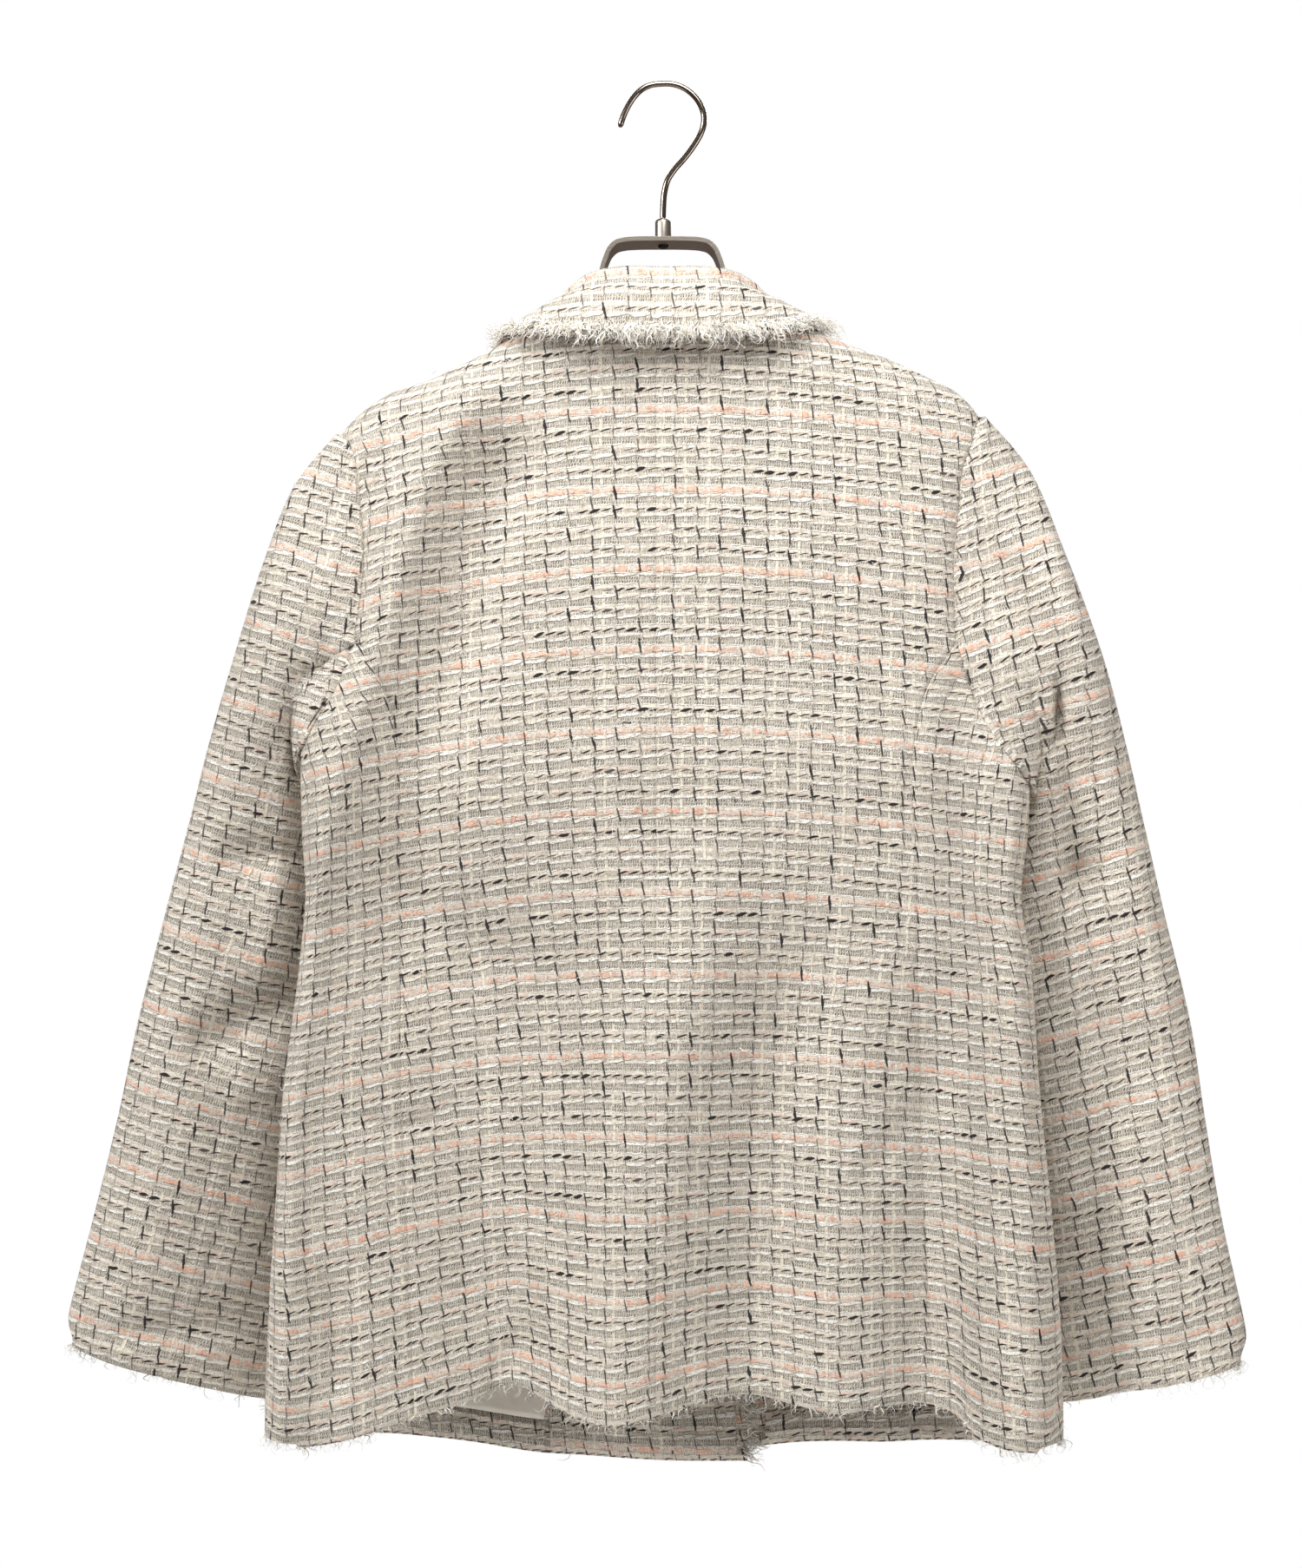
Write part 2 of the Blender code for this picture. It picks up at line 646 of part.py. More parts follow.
def sleeve_pieces(side, name, hole, hole_normals, look):
    points, normals, seam_back, seam_front = sleeve(side, hole, hole_normals)
    under = list(range(seam_back, seam_front + 1))
    count = points.shape[1]
    upper = [(seam_front + i) % count for i in range(count - (seam_front - seam_back) + 1)]
    half_gap = SEAM_GAP / 2
    for kind, columns in (("upper", upper), ("under", under)):
        piece = inset(points[:, columns], first_column=half_gap, last_column=half_gap)
        cloth(f"sleeve_{kind}_{name}", piece, normals[:, columns], look)


def collar(panels, look):
    """The collar stands on the neck seam, turns over and falls outside. Returns its free edge."""
    keys, seams, seam_normals, seam_ups, sides = [], [], [], [], []
    round_back, round_front = BACK_NECK_COLUMNS, FRONT_NECK_COLUMNS
    stops = [(-1, True, j) for j in range(1, round_front + 1)]
    stops += [(-1, False, j) for j in range(round_back - 1, -1, -1)]
    stops += [(1, False, j) for j in range(1, round_back + 1)]
    stops += [(1, True, j) for j in range(round_front - 1, 0, -1)]
    for side, front, j in stops:
        points, normals = panels[side, front]
        keys.append(2 - j / round_front if front else j / round_back)
        seams.append(points[-1, j])
        seam_normals.append(normals[-1, j])
        up = points[-1, j] - points[-2, j]
        seam_ups.append(up / np.linalg.norm(up))
        sides.append(side)
    keys, sides = np.array(keys), np.array(sides)
    seams, seam_normals, seam_ups = np.array(seams), np.array(seam_normals), np.array(seam_ups)
    # At the shoulder seam the neck's edge faces the neck, not up.
    shoulder = abs(keys - 1) < 1e-6
    seam_normals[shoulder] = [(0.75 * side, 0, 0.66) for side in sides[shoulder]]

    def leaf(name):
        return column(COLLAR, "key", name, keys)

    drop = np.where(sides < 0, leaf("left_drop"), 0)
    fold = np.stack([sides * leaf("fold_x"), leaf("fold_y"), leaf("fold_z") - drop], axis=-1)
    edge = np.stack([sides * leaf("edge_x"), leaf("edge_y"), leaf("edge_z") - drop], axis=-1)
    out = edge - fold
    out[:, 2] = 0
    out /= np.linalg.norm(out, axis=-1, keepdims=True)
    base = seams - CLOTH * seam_normals + SEAM_GAP * seam_ups
    base[shoulder, 2] += CLOTH
    up = np.array([0, 0, 1.0])

    def beside_fold(across, below):
        return fold + COLLAR_TURN * (across * out - below * up)

    inside, outside = beside_fold(-1, 1.3), beside_fold(1, 1.3)
    swell = COLLAR_SWELL_OUT * out + COLLAR_SWELL_UP * up
    rows = np.array([
        base,
        lerp(base, inside, 0.5),
        inside,
        beside_fold(-0.74, 0.35),
        fold,
        beside_fold(0.74, 0.35),
        outside,
        lerp(outside, edge, 0.35) + swell,
        lerp(outside, edge, 0.7) + 0.8 * swell,
        edge,
    ])
    along = np.gradient(rows, axis=1)
    over = np.gradient(rows, axis=0)
    normals = np.cross(over, along)
    normals /= np.linalg.norm(normals, axis=-1, keepdims=True)
    if normals[4, len(keys) // 2, 2] < 0:
        normals = -normals
    normals[0] = -seam_normals
    cloth("collar", rows, normals, look)
    fall = rows[-1] - rows[-2]
    return rows[-1], normals[-1], fall / np.linalg.norm(fall, axis=-1, keepdims=True)


def trim(name, line, normals, out, size, look, sag=(0.0, 0.0, -1.0)):
    """A frayed edge in one piece: a narrow root just off the cloth's edge, and pointed yarns from it."""
    steps = np.linalg.norm(np.diff(line, axis=0), axis=1)
    along = np.concatenate([[0], np.cumsum(steps)])
    pitch = along[-1] / size.strands

    def read(values, at):
        return np.array([np.interp(at, along, values[:, i]) for i in range(3)])

    vertices, faces, roots = [], [], []
    previous = None
    for k in range(size.strands):
        middle = (k + 0.5) * pitch
        for at in (middle - size.width / 2, middle + size.width / 2):
            place, normal, away = read(line, at), read(normals, at), read(out, at)
            near = place + TRIM_GAP * away - TRIM_SUNK * normal
            far = near + TRIM_WIDTH * away
            ring = len(vertices)
            vertices += [near, far, far - TRIM_THICKNESS * normal, near - TRIM_THICKNESS * normal]
            if previous is None:
                faces.append((ring, ring + 1, ring + 2, ring + 3))
            else:
                is_root = at > middle
                for i in range(4):
                    if is_root and i == 1:
                        continue
                    a, b = previous + i, previous + (i + 1) % 4
                    faces.append((a, previous + 4 + i, previous + 4 + (i + 1) % 4, b))
                if is_root:
                    roots.append((previous + 1, previous + 5, previous + 6, previous + 2, normal, away))
            previous = ring
    faces.append((previous + 3, previous + 2, previous + 1, previous))
    for k, (a, b, c, d, normal, away) in enumerate(roots):
        length = size.length * (0.62 + 0.38 * math.sin(2.4 * k + 1.3 * math.sin(0.7 * k)) ** 2)
        lean = np.cross(normal, away) * 0.35 * math.sin(5.1 * k + 0.6)
        heading = away + lean + size.droop * np.array(sag)
        heading /= np.linalg.norm(heading)
        corners = [vertices[i] for i in (a, b, c, d)]
        centre = sum(corners) / 4
        ring = len(vertices)
        bend = centre + heading * length * 0.55 + lean * 1.2
        vertices += [bend + (corner - centre) * 0.8 for corner in corners]
        vertices.append(centre + heading * length + size.droop * 2 * np.array(sag))
        quad = (a, b, c, d)
        for i in range(4):
            j = (i + 1) % 4
            faces.append((quad[i], quad[j], ring + j, ring + i))
            faces.append((ring + i, ring + j, ring + 4))
    return add_mesh(name, vertices, faces, look)


def front_edge_line(points, normals):
    away = points[:, 0] - points[:, 1]
    return points[:, 0], normals[:, 0], away / np.linalg.norm(away, axis=-1, keepdims=True)


def arm_section(panels, side, j, beyond=0.0):
    """Top face of the hanger's arm under column j of the shoulder, from the back to the front."""
    near = CLOTH + SEAM_GAP
    rows, down = [], []
    for front, picks in ((False, (-3, -2, -1)), (True, (-2, -3))):
        points, normals = panels[side, front]
        for row in picks:
            here = lerp(points[row, j], points[row, j + 1], beyond) if beyond else points[row, j]
            turn = lerp(normals[row, j], normals[row, j + 1], beyond) if beyond else normals[row, j]
            rows.append(here - near * turn)
            down.append(turn)
    return np.array(rows), np.array(down)


def hanger_band(panels, look):
    """One strip: flat over the arch, bowed under the shoulders."""
    halves = []
    for side in (-1, 1):
        half = []
        for k, point in enumerate(ARCH):
            half_depth = lerp(BAND_HALF_DEPTH, NECK_HALF_DEPTH, smooth_step(37, 76, point.x))
            ahead = ARCH[min(k + 1, len(ARCH) - 1)]
            behind = ARCH[k - 1] if k else Point(-ARCH[1].x, ARCH[1].z)
            slope = math.atan2(ahead.z - behind.z, ahead.x - behind.x)
            z = point.z - (ARM_DROP_LEFT * smooth_step(30, ARCH[-1].x, point.x) if side < 0 else 0)
            shares = np.linspace(-1, 1, BAND_COLUMNS)
            section = np.array([(side * point.x, share * half_depth, z) for share in shares])
            turn = np.array([(-side * math.sin(slope), 0, math.cos(slope))] * BAND_COLUMNS)
            half.append((section, turn))
        first = BACK_NECK_COLUMNS
        half.append(arm_section(panels, side, first, ARM_START))
        for j in range(first + 1, first + SHOULDER_COLUMNS):
            half.append(arm_section(panels, side, j))
        half.append(arm_section(panels, side, first + SHOULDER_COLUMNS - 1, ARM_END))
        halves.append(half)
    whole = halves[0][::-1] + halves[1][1:]
    vertices, faces = [], []
    wide = BAND_COLUMNS
    for section, turn in whole:
        vertices += list(section)
        vertices += list(section - BAND_THICKNESS * turn)
    ring = 2 * wide
    loop = list(range(wide)) + [wide + i for i in range(wide - 1, -1, -1)]
    for k in range(len(whole) - 1):
        for a, b in zip(loop, loop[1:] + loop[:1]):
            faces.append((k * ring + a, k * ring + b, (k + 1) * ring + b, (k + 1) * ring + a))
    last = (len(whole) - 1) * ring
    for i in range(wide - 1):
        faces.append((i, wide + i, wide + i + 1, i + 1))
        faces.append((last + i, last + i + 1, last + wide + i + 1, last + wide + i))
    return add_mesh("hanger_band", vertices, faces, look)


def hook(look):
    x, z = np.array([(point.x, point.z) for point in HOOK_LINE]).T
    along = np.concatenate([[0], np.cumsum(np.hypot(np.diff(x), np.diff(z)))])
    at = np.linspace(0, along[-1], HOOK_STEPS + 1)
    route = list(zip(through(along, x, at), through(along, z, at)))
    curve = bpy.data.curves.new("hook", "CURVE")
    curve.dimensions = "3D"
    curve.bevel_depth = HOOK_WIRE / 2 * MM
    curve.bevel_resolution = 2
    curve.use_fill_caps = True
    line = curve.splines.new("POLY")
    line.points.add(len(route) - 1)
    for point, (x, z) in zip(line.points, route):
        point.co = (x * MM, 0, z * MM, 1)
    line.use_smooth = True
    curve.materials.append(look)
    made = bpy.data.objects.new("hook", curve)
    bpy.context.scene.collection.objects.link(made)
    return made


def turned(name, profile, look, segments=20):
    """A closed profile of (radius, z) points, turned round the hanger's stem."""
    mesh = bpy.data.meshes.new(name)
    shape = bmesh.new()
    corners = [shape.verts.new((radius * MM, 0, z * MM)) for radius, z in profile]
    edges = [shape.edges.new((a, b)) for a, b in zip(corners, corners[1:] + corners[:1])]
    bmesh.ops.spin(
        shape,
        geom=corners + edges,
        cent=(0, 0, 0),
        axis=(0, 0, 1),
        angle=2 * math.pi,
        steps=segments,
    )
    bmesh.ops.remove_doubles(shape, verts=shape.verts, dist=1e-6)
    bmesh.ops.recalc_face_normals(shape, faces=shape.faces)
    shape.to_mesh(mesh)
    shape.free()
    mesh.materials.append(look)
    mesh.shade_smooth()
    mesh.set_sharp_from_angle(angle=math.radians(SHARP_ANGLE))
    made = bpy.data.objects.new(name, mesh)
    made.location.x = HOOK_LINE[-1].x * MM
    bpy.context.scene.collection.objects.link(made)
    return made


def ferrule(look):
    bottom = ARCH[0].z + SEAM_GAP
    top = bottom + FERRULE_HEIGHT
    round_off = 2.5
    profile = [
        (FERRULE_BORE, bottom),
        (FERRULE_RADIUS, bottom),
        (FERRULE_RADIUS, top - round_off),
        (FERRULE_RADIUS - 0.8, top - 0.8),
        (FERRULE_RADIUS - 1.8, top),
        (FERRULE_BORE, top),
    ]
    return turned("ferrule", profile, look)


def rivet(look):
    top = ARCH[0].z - BAND_THICKNESS - SEAM_GAP
    profile = [
        (RIVET_BORE, top),
        (RIVET_RADIUS, top),
        (RIVET_RADIUS - 0.4, top - 0.6 * RIVET_HEIGHT),
        (0.6 * RIVET_RADIUS, top - RIVET_HEIGHT),
        (RIVET_BORE, top - RIVET_HEIGHT),
    ]
    return turned("stem_rivet", profile, look, 16)


def body_panels(tweed):
    """Backs, sides and fronts. Returns each whole panel before its seam gaps are cut."""
    panels = {}
    half_gap = SEAM_GAP / 2
    for side, name in ((-1, "left"), (1, "right")):
        for front in (False, True):
            panels[side, front] = panel(side, front)
        back, back_normals = panels[side, False]
        front, front_normals = panels[side, True]
        edge_rows = BODY_ROWS + 1
        side_points, side_normals = side_panel(side, back[:edge_rows, -1], front[:edge_rows, -1])
        panels[side, "side"] = side_points, side_normals
        cut = shoulder_gap(inset(back, first_column=half_gap), BACK_NECK_COLUMNS, -half_gap)
        cut = seam_cut(cut, half_gap)
        cloth(f"back_{name}", cut, back_normals, tweed)
        cut = seam_cut(shoulder_gap(front, FRONT_NECK_COLUMNS, half_gap), half_gap)
        cloth(f"front_{name}", cut, front_normals, tweed)
        cut = inset(side_points, first_column=half_gap, last_column=half_gap)
        cloth(f"side_{name}", cut, side_normals, tweed)
    return panels


def shoulder_gap(points, neck_columns, shift):
    points = points.copy()
    points[-1, neck_columns:, 1] += shift
    return points


def seam_cut(points, width):
    """Cuts the outer column back from the side seam, up to the armhole."""
    rows = BODY_ROWS + 1
    trimmed = inset(points[:rows], last_column=width)
    points = points.copy()
    points[:rows] = trimmed
    return points


def linings(panels, tweed, satin):
    """Inside the fronts: a tweed facing, tweed hem turn-ups and the satin above them."""
    near = CLOTH + SEAM_GAP
    half_gap = SEAM_GAP / 2
    points, normals = panels[-1, True]
    rows, columns = slice(0, BODY_ROWS + FACING_ROWS), slice(0, FACING_COLUMNS + 1)
    facing = inset(points[rows, columns], HEM_SET_BACK, 0, EDGE_SET_BACK, half_gap)
    cloth("front_facing_left", facing, normals[rows, columns], tweed, LINING, near)
    rows, columns = slice(1, 2 + LINING_ROWS), slice(FACING_COLUMNS, None)
    satin_sheet = inset(points[rows, columns], half_gap, 0, half_gap, EDGE_SET_BACK)
    cloth("lining_left", satin_sheet, normals[rows, columns], satin, LINING, near)
    # The right front's turn-up starts clear of the left front, which lies inside it.
    for side, name, first, cut in (
        (-1, "left", FACING_COLUMNS, half_gap),
        (1, "right", FACING_COLUMNS, LAP_CLEARANCE),
    ):
        points, normals = panels[side, True]
        turn_up = inset(points[:2, first:], HEM_SET_BACK, half_gap, cut, EDGE_SET_BACK)
        cloth(f"hem_facing_{name}", turn_up, normals[:2, first:], tweed, LINING, near)


def trims(panels, collar_edge, yarn):
    line, normals, out = collar_edge
    trim("collar_fringe", line, normals, out, COLLAR_TRIM, yarn)
    for side, name in ((-1, "left"), (1, "right")):
        points, normals = panels[side, True]
        line, edge_normals, out = front_edge_line(points, normals)
        trim(f"front_fringe_{name}", line, edge_normals, out, FRONT_TRIM, yarn)


def build():
    for old in list(bpy.data.objects):
        bpy.data.objects.remove(old, do_unlink=True)
    tweed = material("tweed", (0.82, 0.79, 0.73), 0.95)
    satin = material("satin_lining", (0.84, 0.79, 0.68), 0.35)
    yarn = material("fringe_yarn", (0.86, 0.84, 0.79), 0.95)
    steel = material("brushed_steel", (0.62, 0.62, 0.63), 0.3, 1.0)
    dark_steel = material("dark_steel", (0.16, 0.15, 0.15), 0.45, 1.0)
    panels = body_panels(tweed)
    for side, name in ((-1, "left"), (1, "right")):
        hole, hole_normals = armhole(side, panels[side, False], panels[side, "side"], panels[side, True])
        sleeve_pieces(side, name, hole, hole_normals, tweed)
    collar_edge = collar(panels, tweed)
    trims(panels, collar_edge, yarn)
    linings(panels, tweed, satin)
    hanger_band(panels, steel)
    hook(steel)
    ferrule(steel)
    rivet(dark_steel)


build()
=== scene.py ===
import json
import math
from collections import namedtuple
from types import SimpleNamespace

import bpy
import numpy as np
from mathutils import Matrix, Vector

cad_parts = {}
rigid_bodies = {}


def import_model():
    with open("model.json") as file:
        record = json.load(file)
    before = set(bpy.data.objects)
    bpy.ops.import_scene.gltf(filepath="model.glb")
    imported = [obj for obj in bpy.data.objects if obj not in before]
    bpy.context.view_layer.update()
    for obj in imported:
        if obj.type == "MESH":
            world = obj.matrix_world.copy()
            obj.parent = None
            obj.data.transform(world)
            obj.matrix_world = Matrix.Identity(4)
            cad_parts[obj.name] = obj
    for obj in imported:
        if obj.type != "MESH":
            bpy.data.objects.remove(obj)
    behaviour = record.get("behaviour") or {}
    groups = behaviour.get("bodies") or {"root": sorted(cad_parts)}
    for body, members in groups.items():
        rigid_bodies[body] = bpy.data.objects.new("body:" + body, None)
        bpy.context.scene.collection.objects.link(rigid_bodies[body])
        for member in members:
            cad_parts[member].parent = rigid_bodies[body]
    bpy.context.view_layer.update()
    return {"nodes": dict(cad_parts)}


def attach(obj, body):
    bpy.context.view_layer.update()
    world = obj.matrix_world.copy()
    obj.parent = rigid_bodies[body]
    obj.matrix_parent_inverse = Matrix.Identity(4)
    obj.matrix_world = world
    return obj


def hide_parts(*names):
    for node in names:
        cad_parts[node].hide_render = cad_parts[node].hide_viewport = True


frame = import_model()
mm = 0.001  # tables below are in millimetres
print("frame loaded:", len(frame["nodes"]), "nodes")

# numbers in a node tree add and multiply as in Python, and every other node comes from node()


class Number:
    def __init__(self, board, socket):
        self.board = board
        self.socket = socket

    def math(self, operation, *others):
        return self.board.math(operation, self, *others)

    def __add__(self, other):
        return self.math("ADD", other)

    def __radd__(self, other):
        return self.board.math("ADD", other, self)

    def __sub__(self, other):
        return self.math("SUBTRACT", other)

    def __rsub__(self, other):
        return self.board.math("SUBTRACT", other, self)

    def __mul__(self, other):
        return self.math("MULTIPLY", other)

    def __rmul__(self, other):
        return self.board.math("MULTIPLY", other, self)

    def __truediv__(self, other):
        return self.math("DIVIDE", other)

    def __pow__(self, other):
        return self.math("POWER", other)

    def __abs__(self):
        return self.math("ABSOLUTE")

    def whole(self):
        return self.math("FLOOR")

    def within(self):  # what is left above the whole number
        return self.math("FRACT")

    def over(self, other):  # the larger of the two
        return self.math("MAXIMUM", other)


class Board:
    def __init__(self, tree):
        self.tree = tree

    def plug(self, socket, value):
        if isinstance(value, Number):
            value = value.socket
        if isinstance(value, bpy.types.NodeSocket):
            self.tree.links.new(value, socket)
        else:
            socket.default_value = value

    def node(self, kind, settings=None, **sockets):  # From_Min is the socket "From Min", and _0 the first one
        made = self.tree.nodes.new(kind)
        for name, value in (settings or {}).items():
            setattr(made, name, value)
        for name, value in sockets.items():
            key = int(name[1:]) if name[0] == "_" else name.replace("_", " ")
            self.plug(made.inputs[key], value)
        return made

    def number(self, socket):
        return Number(self, socket)

    def math(self, operation, *values):
        made = self.node("ShaderNodeMath", {"operation": operation})
        for place, value in enumerate(values):
            self.plug(made.inputs[place], value)
        return self.number(made.outputs[0])

    def move(self, operation, vector, amounts):
        return self.node("ShaderNodeVectorMath", {"operation": operation}, _0=vector, _1=amounts).outputs[0]

    def split(self, vector):
        return [self.number(socket) for socket in self.node("ShaderNodeSeparateXYZ", Vector=vector).outputs]

    def step(self, value, low, high):  # smoothly from 0 at low to 1 at high, which may lie below low
        settings = {"interpolation_type": "SMOOTHSTEP"}
        made = self.node("ShaderNodeMapRange", settings, Value=value, From_Min=low, From_Max=high)
        return self.number(made.outputs[0])

    def noise(self, vector, scale, detail=2.0, rough=0.5):
        made = self.node("ShaderNodeTexNoise", Vector=vector, Scale=scale, Detail=detail, Roughness=rough)
        return self.number(made.outputs[0])

    def chance(self, x, y):
        spot = self.node("ShaderNodeCombineXYZ", X=x, Y=y)
        return self.number(self.node("ShaderNodeTexWhiteNoise", Vector=spot.outputs[0]).outputs[0])

    def blend(self, amount, first, second, kind="MIX"):
        settings = {"data_type": "RGBA", "blend_type": kind, "clamp_factor": True}
        return self.node("ShaderNodeMix", settings, _0=amount, _6=first, _7=second).outputs[2]

    def bump(self, strength, distance, height):
        return self.node("ShaderNodeBump", Strength=strength, Distance=distance, Height=height).outputs[0]


def screen(red, green, blue):  # a colour as a screen shows it
    shares = [value / 255 for value in (red, green, blue)]
    return tuple(c / 12.92 if c <= 0.04045 else ((c + 0.055) / 1.055) ** 2.4 for c in shares) + (1.0,)


def newMaterial(name):
    made = bpy.data.materials.new(name)
    made.use_nodes = True
    board = Board(made.node_tree)
    return made, board, made.node_tree.nodes["Principled BSDF"]


# tweed: groups of wefts between main lines, crossed by black and cream warps; lengths in millimetres

tweedYarns = {
    "repeat": 45.4,  # from one peach band to the next
    "groups": 4,  # of wefts in one repeat: a peach one, a black one, a fine grey one and a black one
    "groupStart": 2.7,  # a group reaches this far below its main line
    "warpPitch": 13.05,  # from one black warp to the next
    "whiteAt": 3.4,  # the thick white yarn, above the main line
    "whiteHalf": (0.66, 0.4),  # half its width, and what luck adds
    "whiteClimb": 0.7,
    "secondAt": -2.8,
    "secondHalf": 0.32,
    "bandLines": (2.0, 0.22),  # thin white lines beside a peach band, and half their width
    "dashHalf": (0.26, 0.36, 0.4),  # half a black dash, what luck adds, and what a slub adds
    "dashClimb": 1.5,
    "linkHalf": 0.14,
    "bandHalf": (0.9, 1.7),  # half a peach band at its thinnest, and what it gains
    "paleZone": (-1.75, 0.9),
    "patchHalf": 0.85,
    "greyZone": (6.45, 1.75),
    "tickPitch": 1.38,
    "tickShift": 0.7,  # of every other row
    "tickRows": (5.4, 7.4),
    "lowTickRow": 1.5,
    "blackHalf": (0.3, 0.24, 0.3),
    "blackLean": 1.9,
    "creamAt": -0.6,
    "creamHalf": (0.15, 0.7),
    "ground": screen(206, 196, 181),
    "greyGround": screen(197, 190, 177),
    "paleGround": screen(232, 222, 208),
    "tick": screen(82, 74, 64),
    "white": screen(255, 254, 248),
    "cream": screen(244, 236, 218),
    "peach": screen(237, 197, 175),
    "peachDeep": screen(221, 160, 134),
    "blush": screen(236, 210, 195),
    "black": screen(34, 31, 34),
    "darkGrey": screen(92, 88, 88),
    "plain": (1.0, 1.0, 1.0, 1.0),
    "dusty": (0.62, 0.6, 0.58, 1.0),
    "roughness": 0.92,
    "sheen": 0.1,
    "relief": 0.0012,  # metres
}
tweedNoises = {  # which way it runs, its scale, detail and roughness
    "slow": ("plain", 40.0, 1.0, 0.5),
    "quick": ("aside", 230.0, 2.0, 0.5),
    "fine": ("aside", 1000.0, 2.0, 0.6),
    "twist": ("weftwise", 900.0, 2.0, 0.6),  # of the wefts
    "upright": ("warpwise", 760.0, 3.0, 0.65),  # single warp threads
    "patchy": ("aside", 120.0, 2.0, 0.5),
    "grit": ("aside", 480.0, 2.0, 0.6),
    "sway": ("aside", 55.0, 1.0, 0.5),
    "tremble": ("plain", 160.0, 1.0, 0.5),
}


def tweedNoise(b, uv):
    ways = {
        "plain": uv,
        "aside": b.move("ADD", uv, (3.7, 1.9, 0.0)),
        "weftwise": b.move("MULTIPLY", uv, (0.6, 1.0, 1.0)),
        "warpwise": b.move("MULTIPLY", uv, (1.0, 0.4, 1.0)),
    }
    noises = {name: b.noise(ways[way], *values) for name, (way, *values) in tweedNoises.items()}
    return SimpleNamespace(**noises)


def tweedPlaces(b, uv, noise):  # where a spot lies among the wefts and warps
    acrossCloth, upCloth, _ = b.split(uv)
    v = upCloth * 1000.0 + (noise.slow - 0.5) * 2.0 + (noise.quick - 0.5) * 0.9
    u = acrossCloth * 1000.0 + (noise.sway - 0.5) * 3.0 + (noise.tremble - 0.5) * 1.0
    group = tweedYarns["repeat"] / tweedYarns["groups"]
    start, pitch = tweedYarns["groupStart"], tweedYarns["warpPitch"]
    groups = (v + start) / group
    row = groups.whole()
    kind = row.math("WRAP", 4.0, 0.0)
    isPeach = b.step(kind, 0.6, 0.4)
    isFine = b.step(abs(kind - 2.0), 0.6, 0.4)
    cell = (u / pitch).whole()  # between two black warps
    halfCells = u / (pitch / 2) + 0.25

    def alongRow(scale, shift):  # a value that wanders along each line on its own
        spot = b.node("ShaderNodeCombineXYZ", X=u * scale, Y=row * 7.3 + shift)
        return b.noise(spot.outputs[0], 1.0)

    return SimpleNamespace(
        u=u, v=v, group=group, pitch=pitch, row=row, cell=cell,
        q=groups.within() * group - start,  # height above the group's main line
        isPeach=isPeach, isFine=isFine, isBlack=1.0 - isPeach - isFine,
        across=(u / pitch).within() - 0.5,
        acrossHalf=halfCells.within() - 0.5,
        luck=b.chance(cell, row),
        halfLuck=b.chance(halfCells.whole(), row + 0.37),
        otherLuck=b.chance(cell + 0.21, row + 0.11),
        third=b.chance(cell + 0.63, row + 0.71),
        alongRow=alongRow,
        wander=(alongRow(0.06, 1.7) - 0.5) * 1.8,
        rise=(alongRow(0.05, 5.1) - 0.5) * 1.4,
    )


def stripe(b, place, half, soft=0.35):
    return b.step(abs(place), half + soft, half - soft)


def whiteYarns(b, noise, at):
    yarns = tweedYarns
    quick, fine, grit, patchy = noise.quick, noise.fine, noise.grit, noise.patchy
    bow = 1.0 - 0.9 * (abs(at.across) * 2.0) ** 4.0
    half = bow * (yarns["whiteHalf"][0] + yarns["whiteHalf"][1] * at.luck)
    ragged = (fine - 0.5) * 0.9 + (grit - 0.5) * 0.5
    climb = at.across * (yarns["whiteClimb"] + at.third)
    shift = at.q - yarns["whiteAt"] + climb + at.wander + (quick - 0.5) * 0.8 + (at.luck - 0.5) * 0.9
    white = b.step(abs(shift) - half + ragged, 0.3, -0.25) * (0.5 + 0.5 * b.step(fine, 0.3, 0.48))
    white = white * b.step(grit, 0.2, 0.42) * (0.4 + 0.6 * b.step(at.otherLuck, 0.12, 0.34))
    shadow = b.step(abs(shift - half - 0.3), 0.5, 0.05) * b.step(grit, 0.3, 0.6)
    second = (at.q - yarns["secondAt"] + at.acrossHalf * 0.7 + (quick - 0.5) * 0.8) / at.group + 0.5
    second = stripe(b, (second.within() - 0.5) * at.group, yarns["secondHalf"], 0.3)
    second = second * b.step(patchy, 0.36, 0.52) * b.step(grit, 0.25, 0.5)
    place, thinHalf = yarns["bandLines"]
    beside = stripe(b, abs(at.q + at.wander * 0.4) - place, thinHalf, 0.25) * at.isPeach
    beside = beside * b.step(patchy, 0.42, 0.52)
    return white, shadow, beside.over(second), ragged


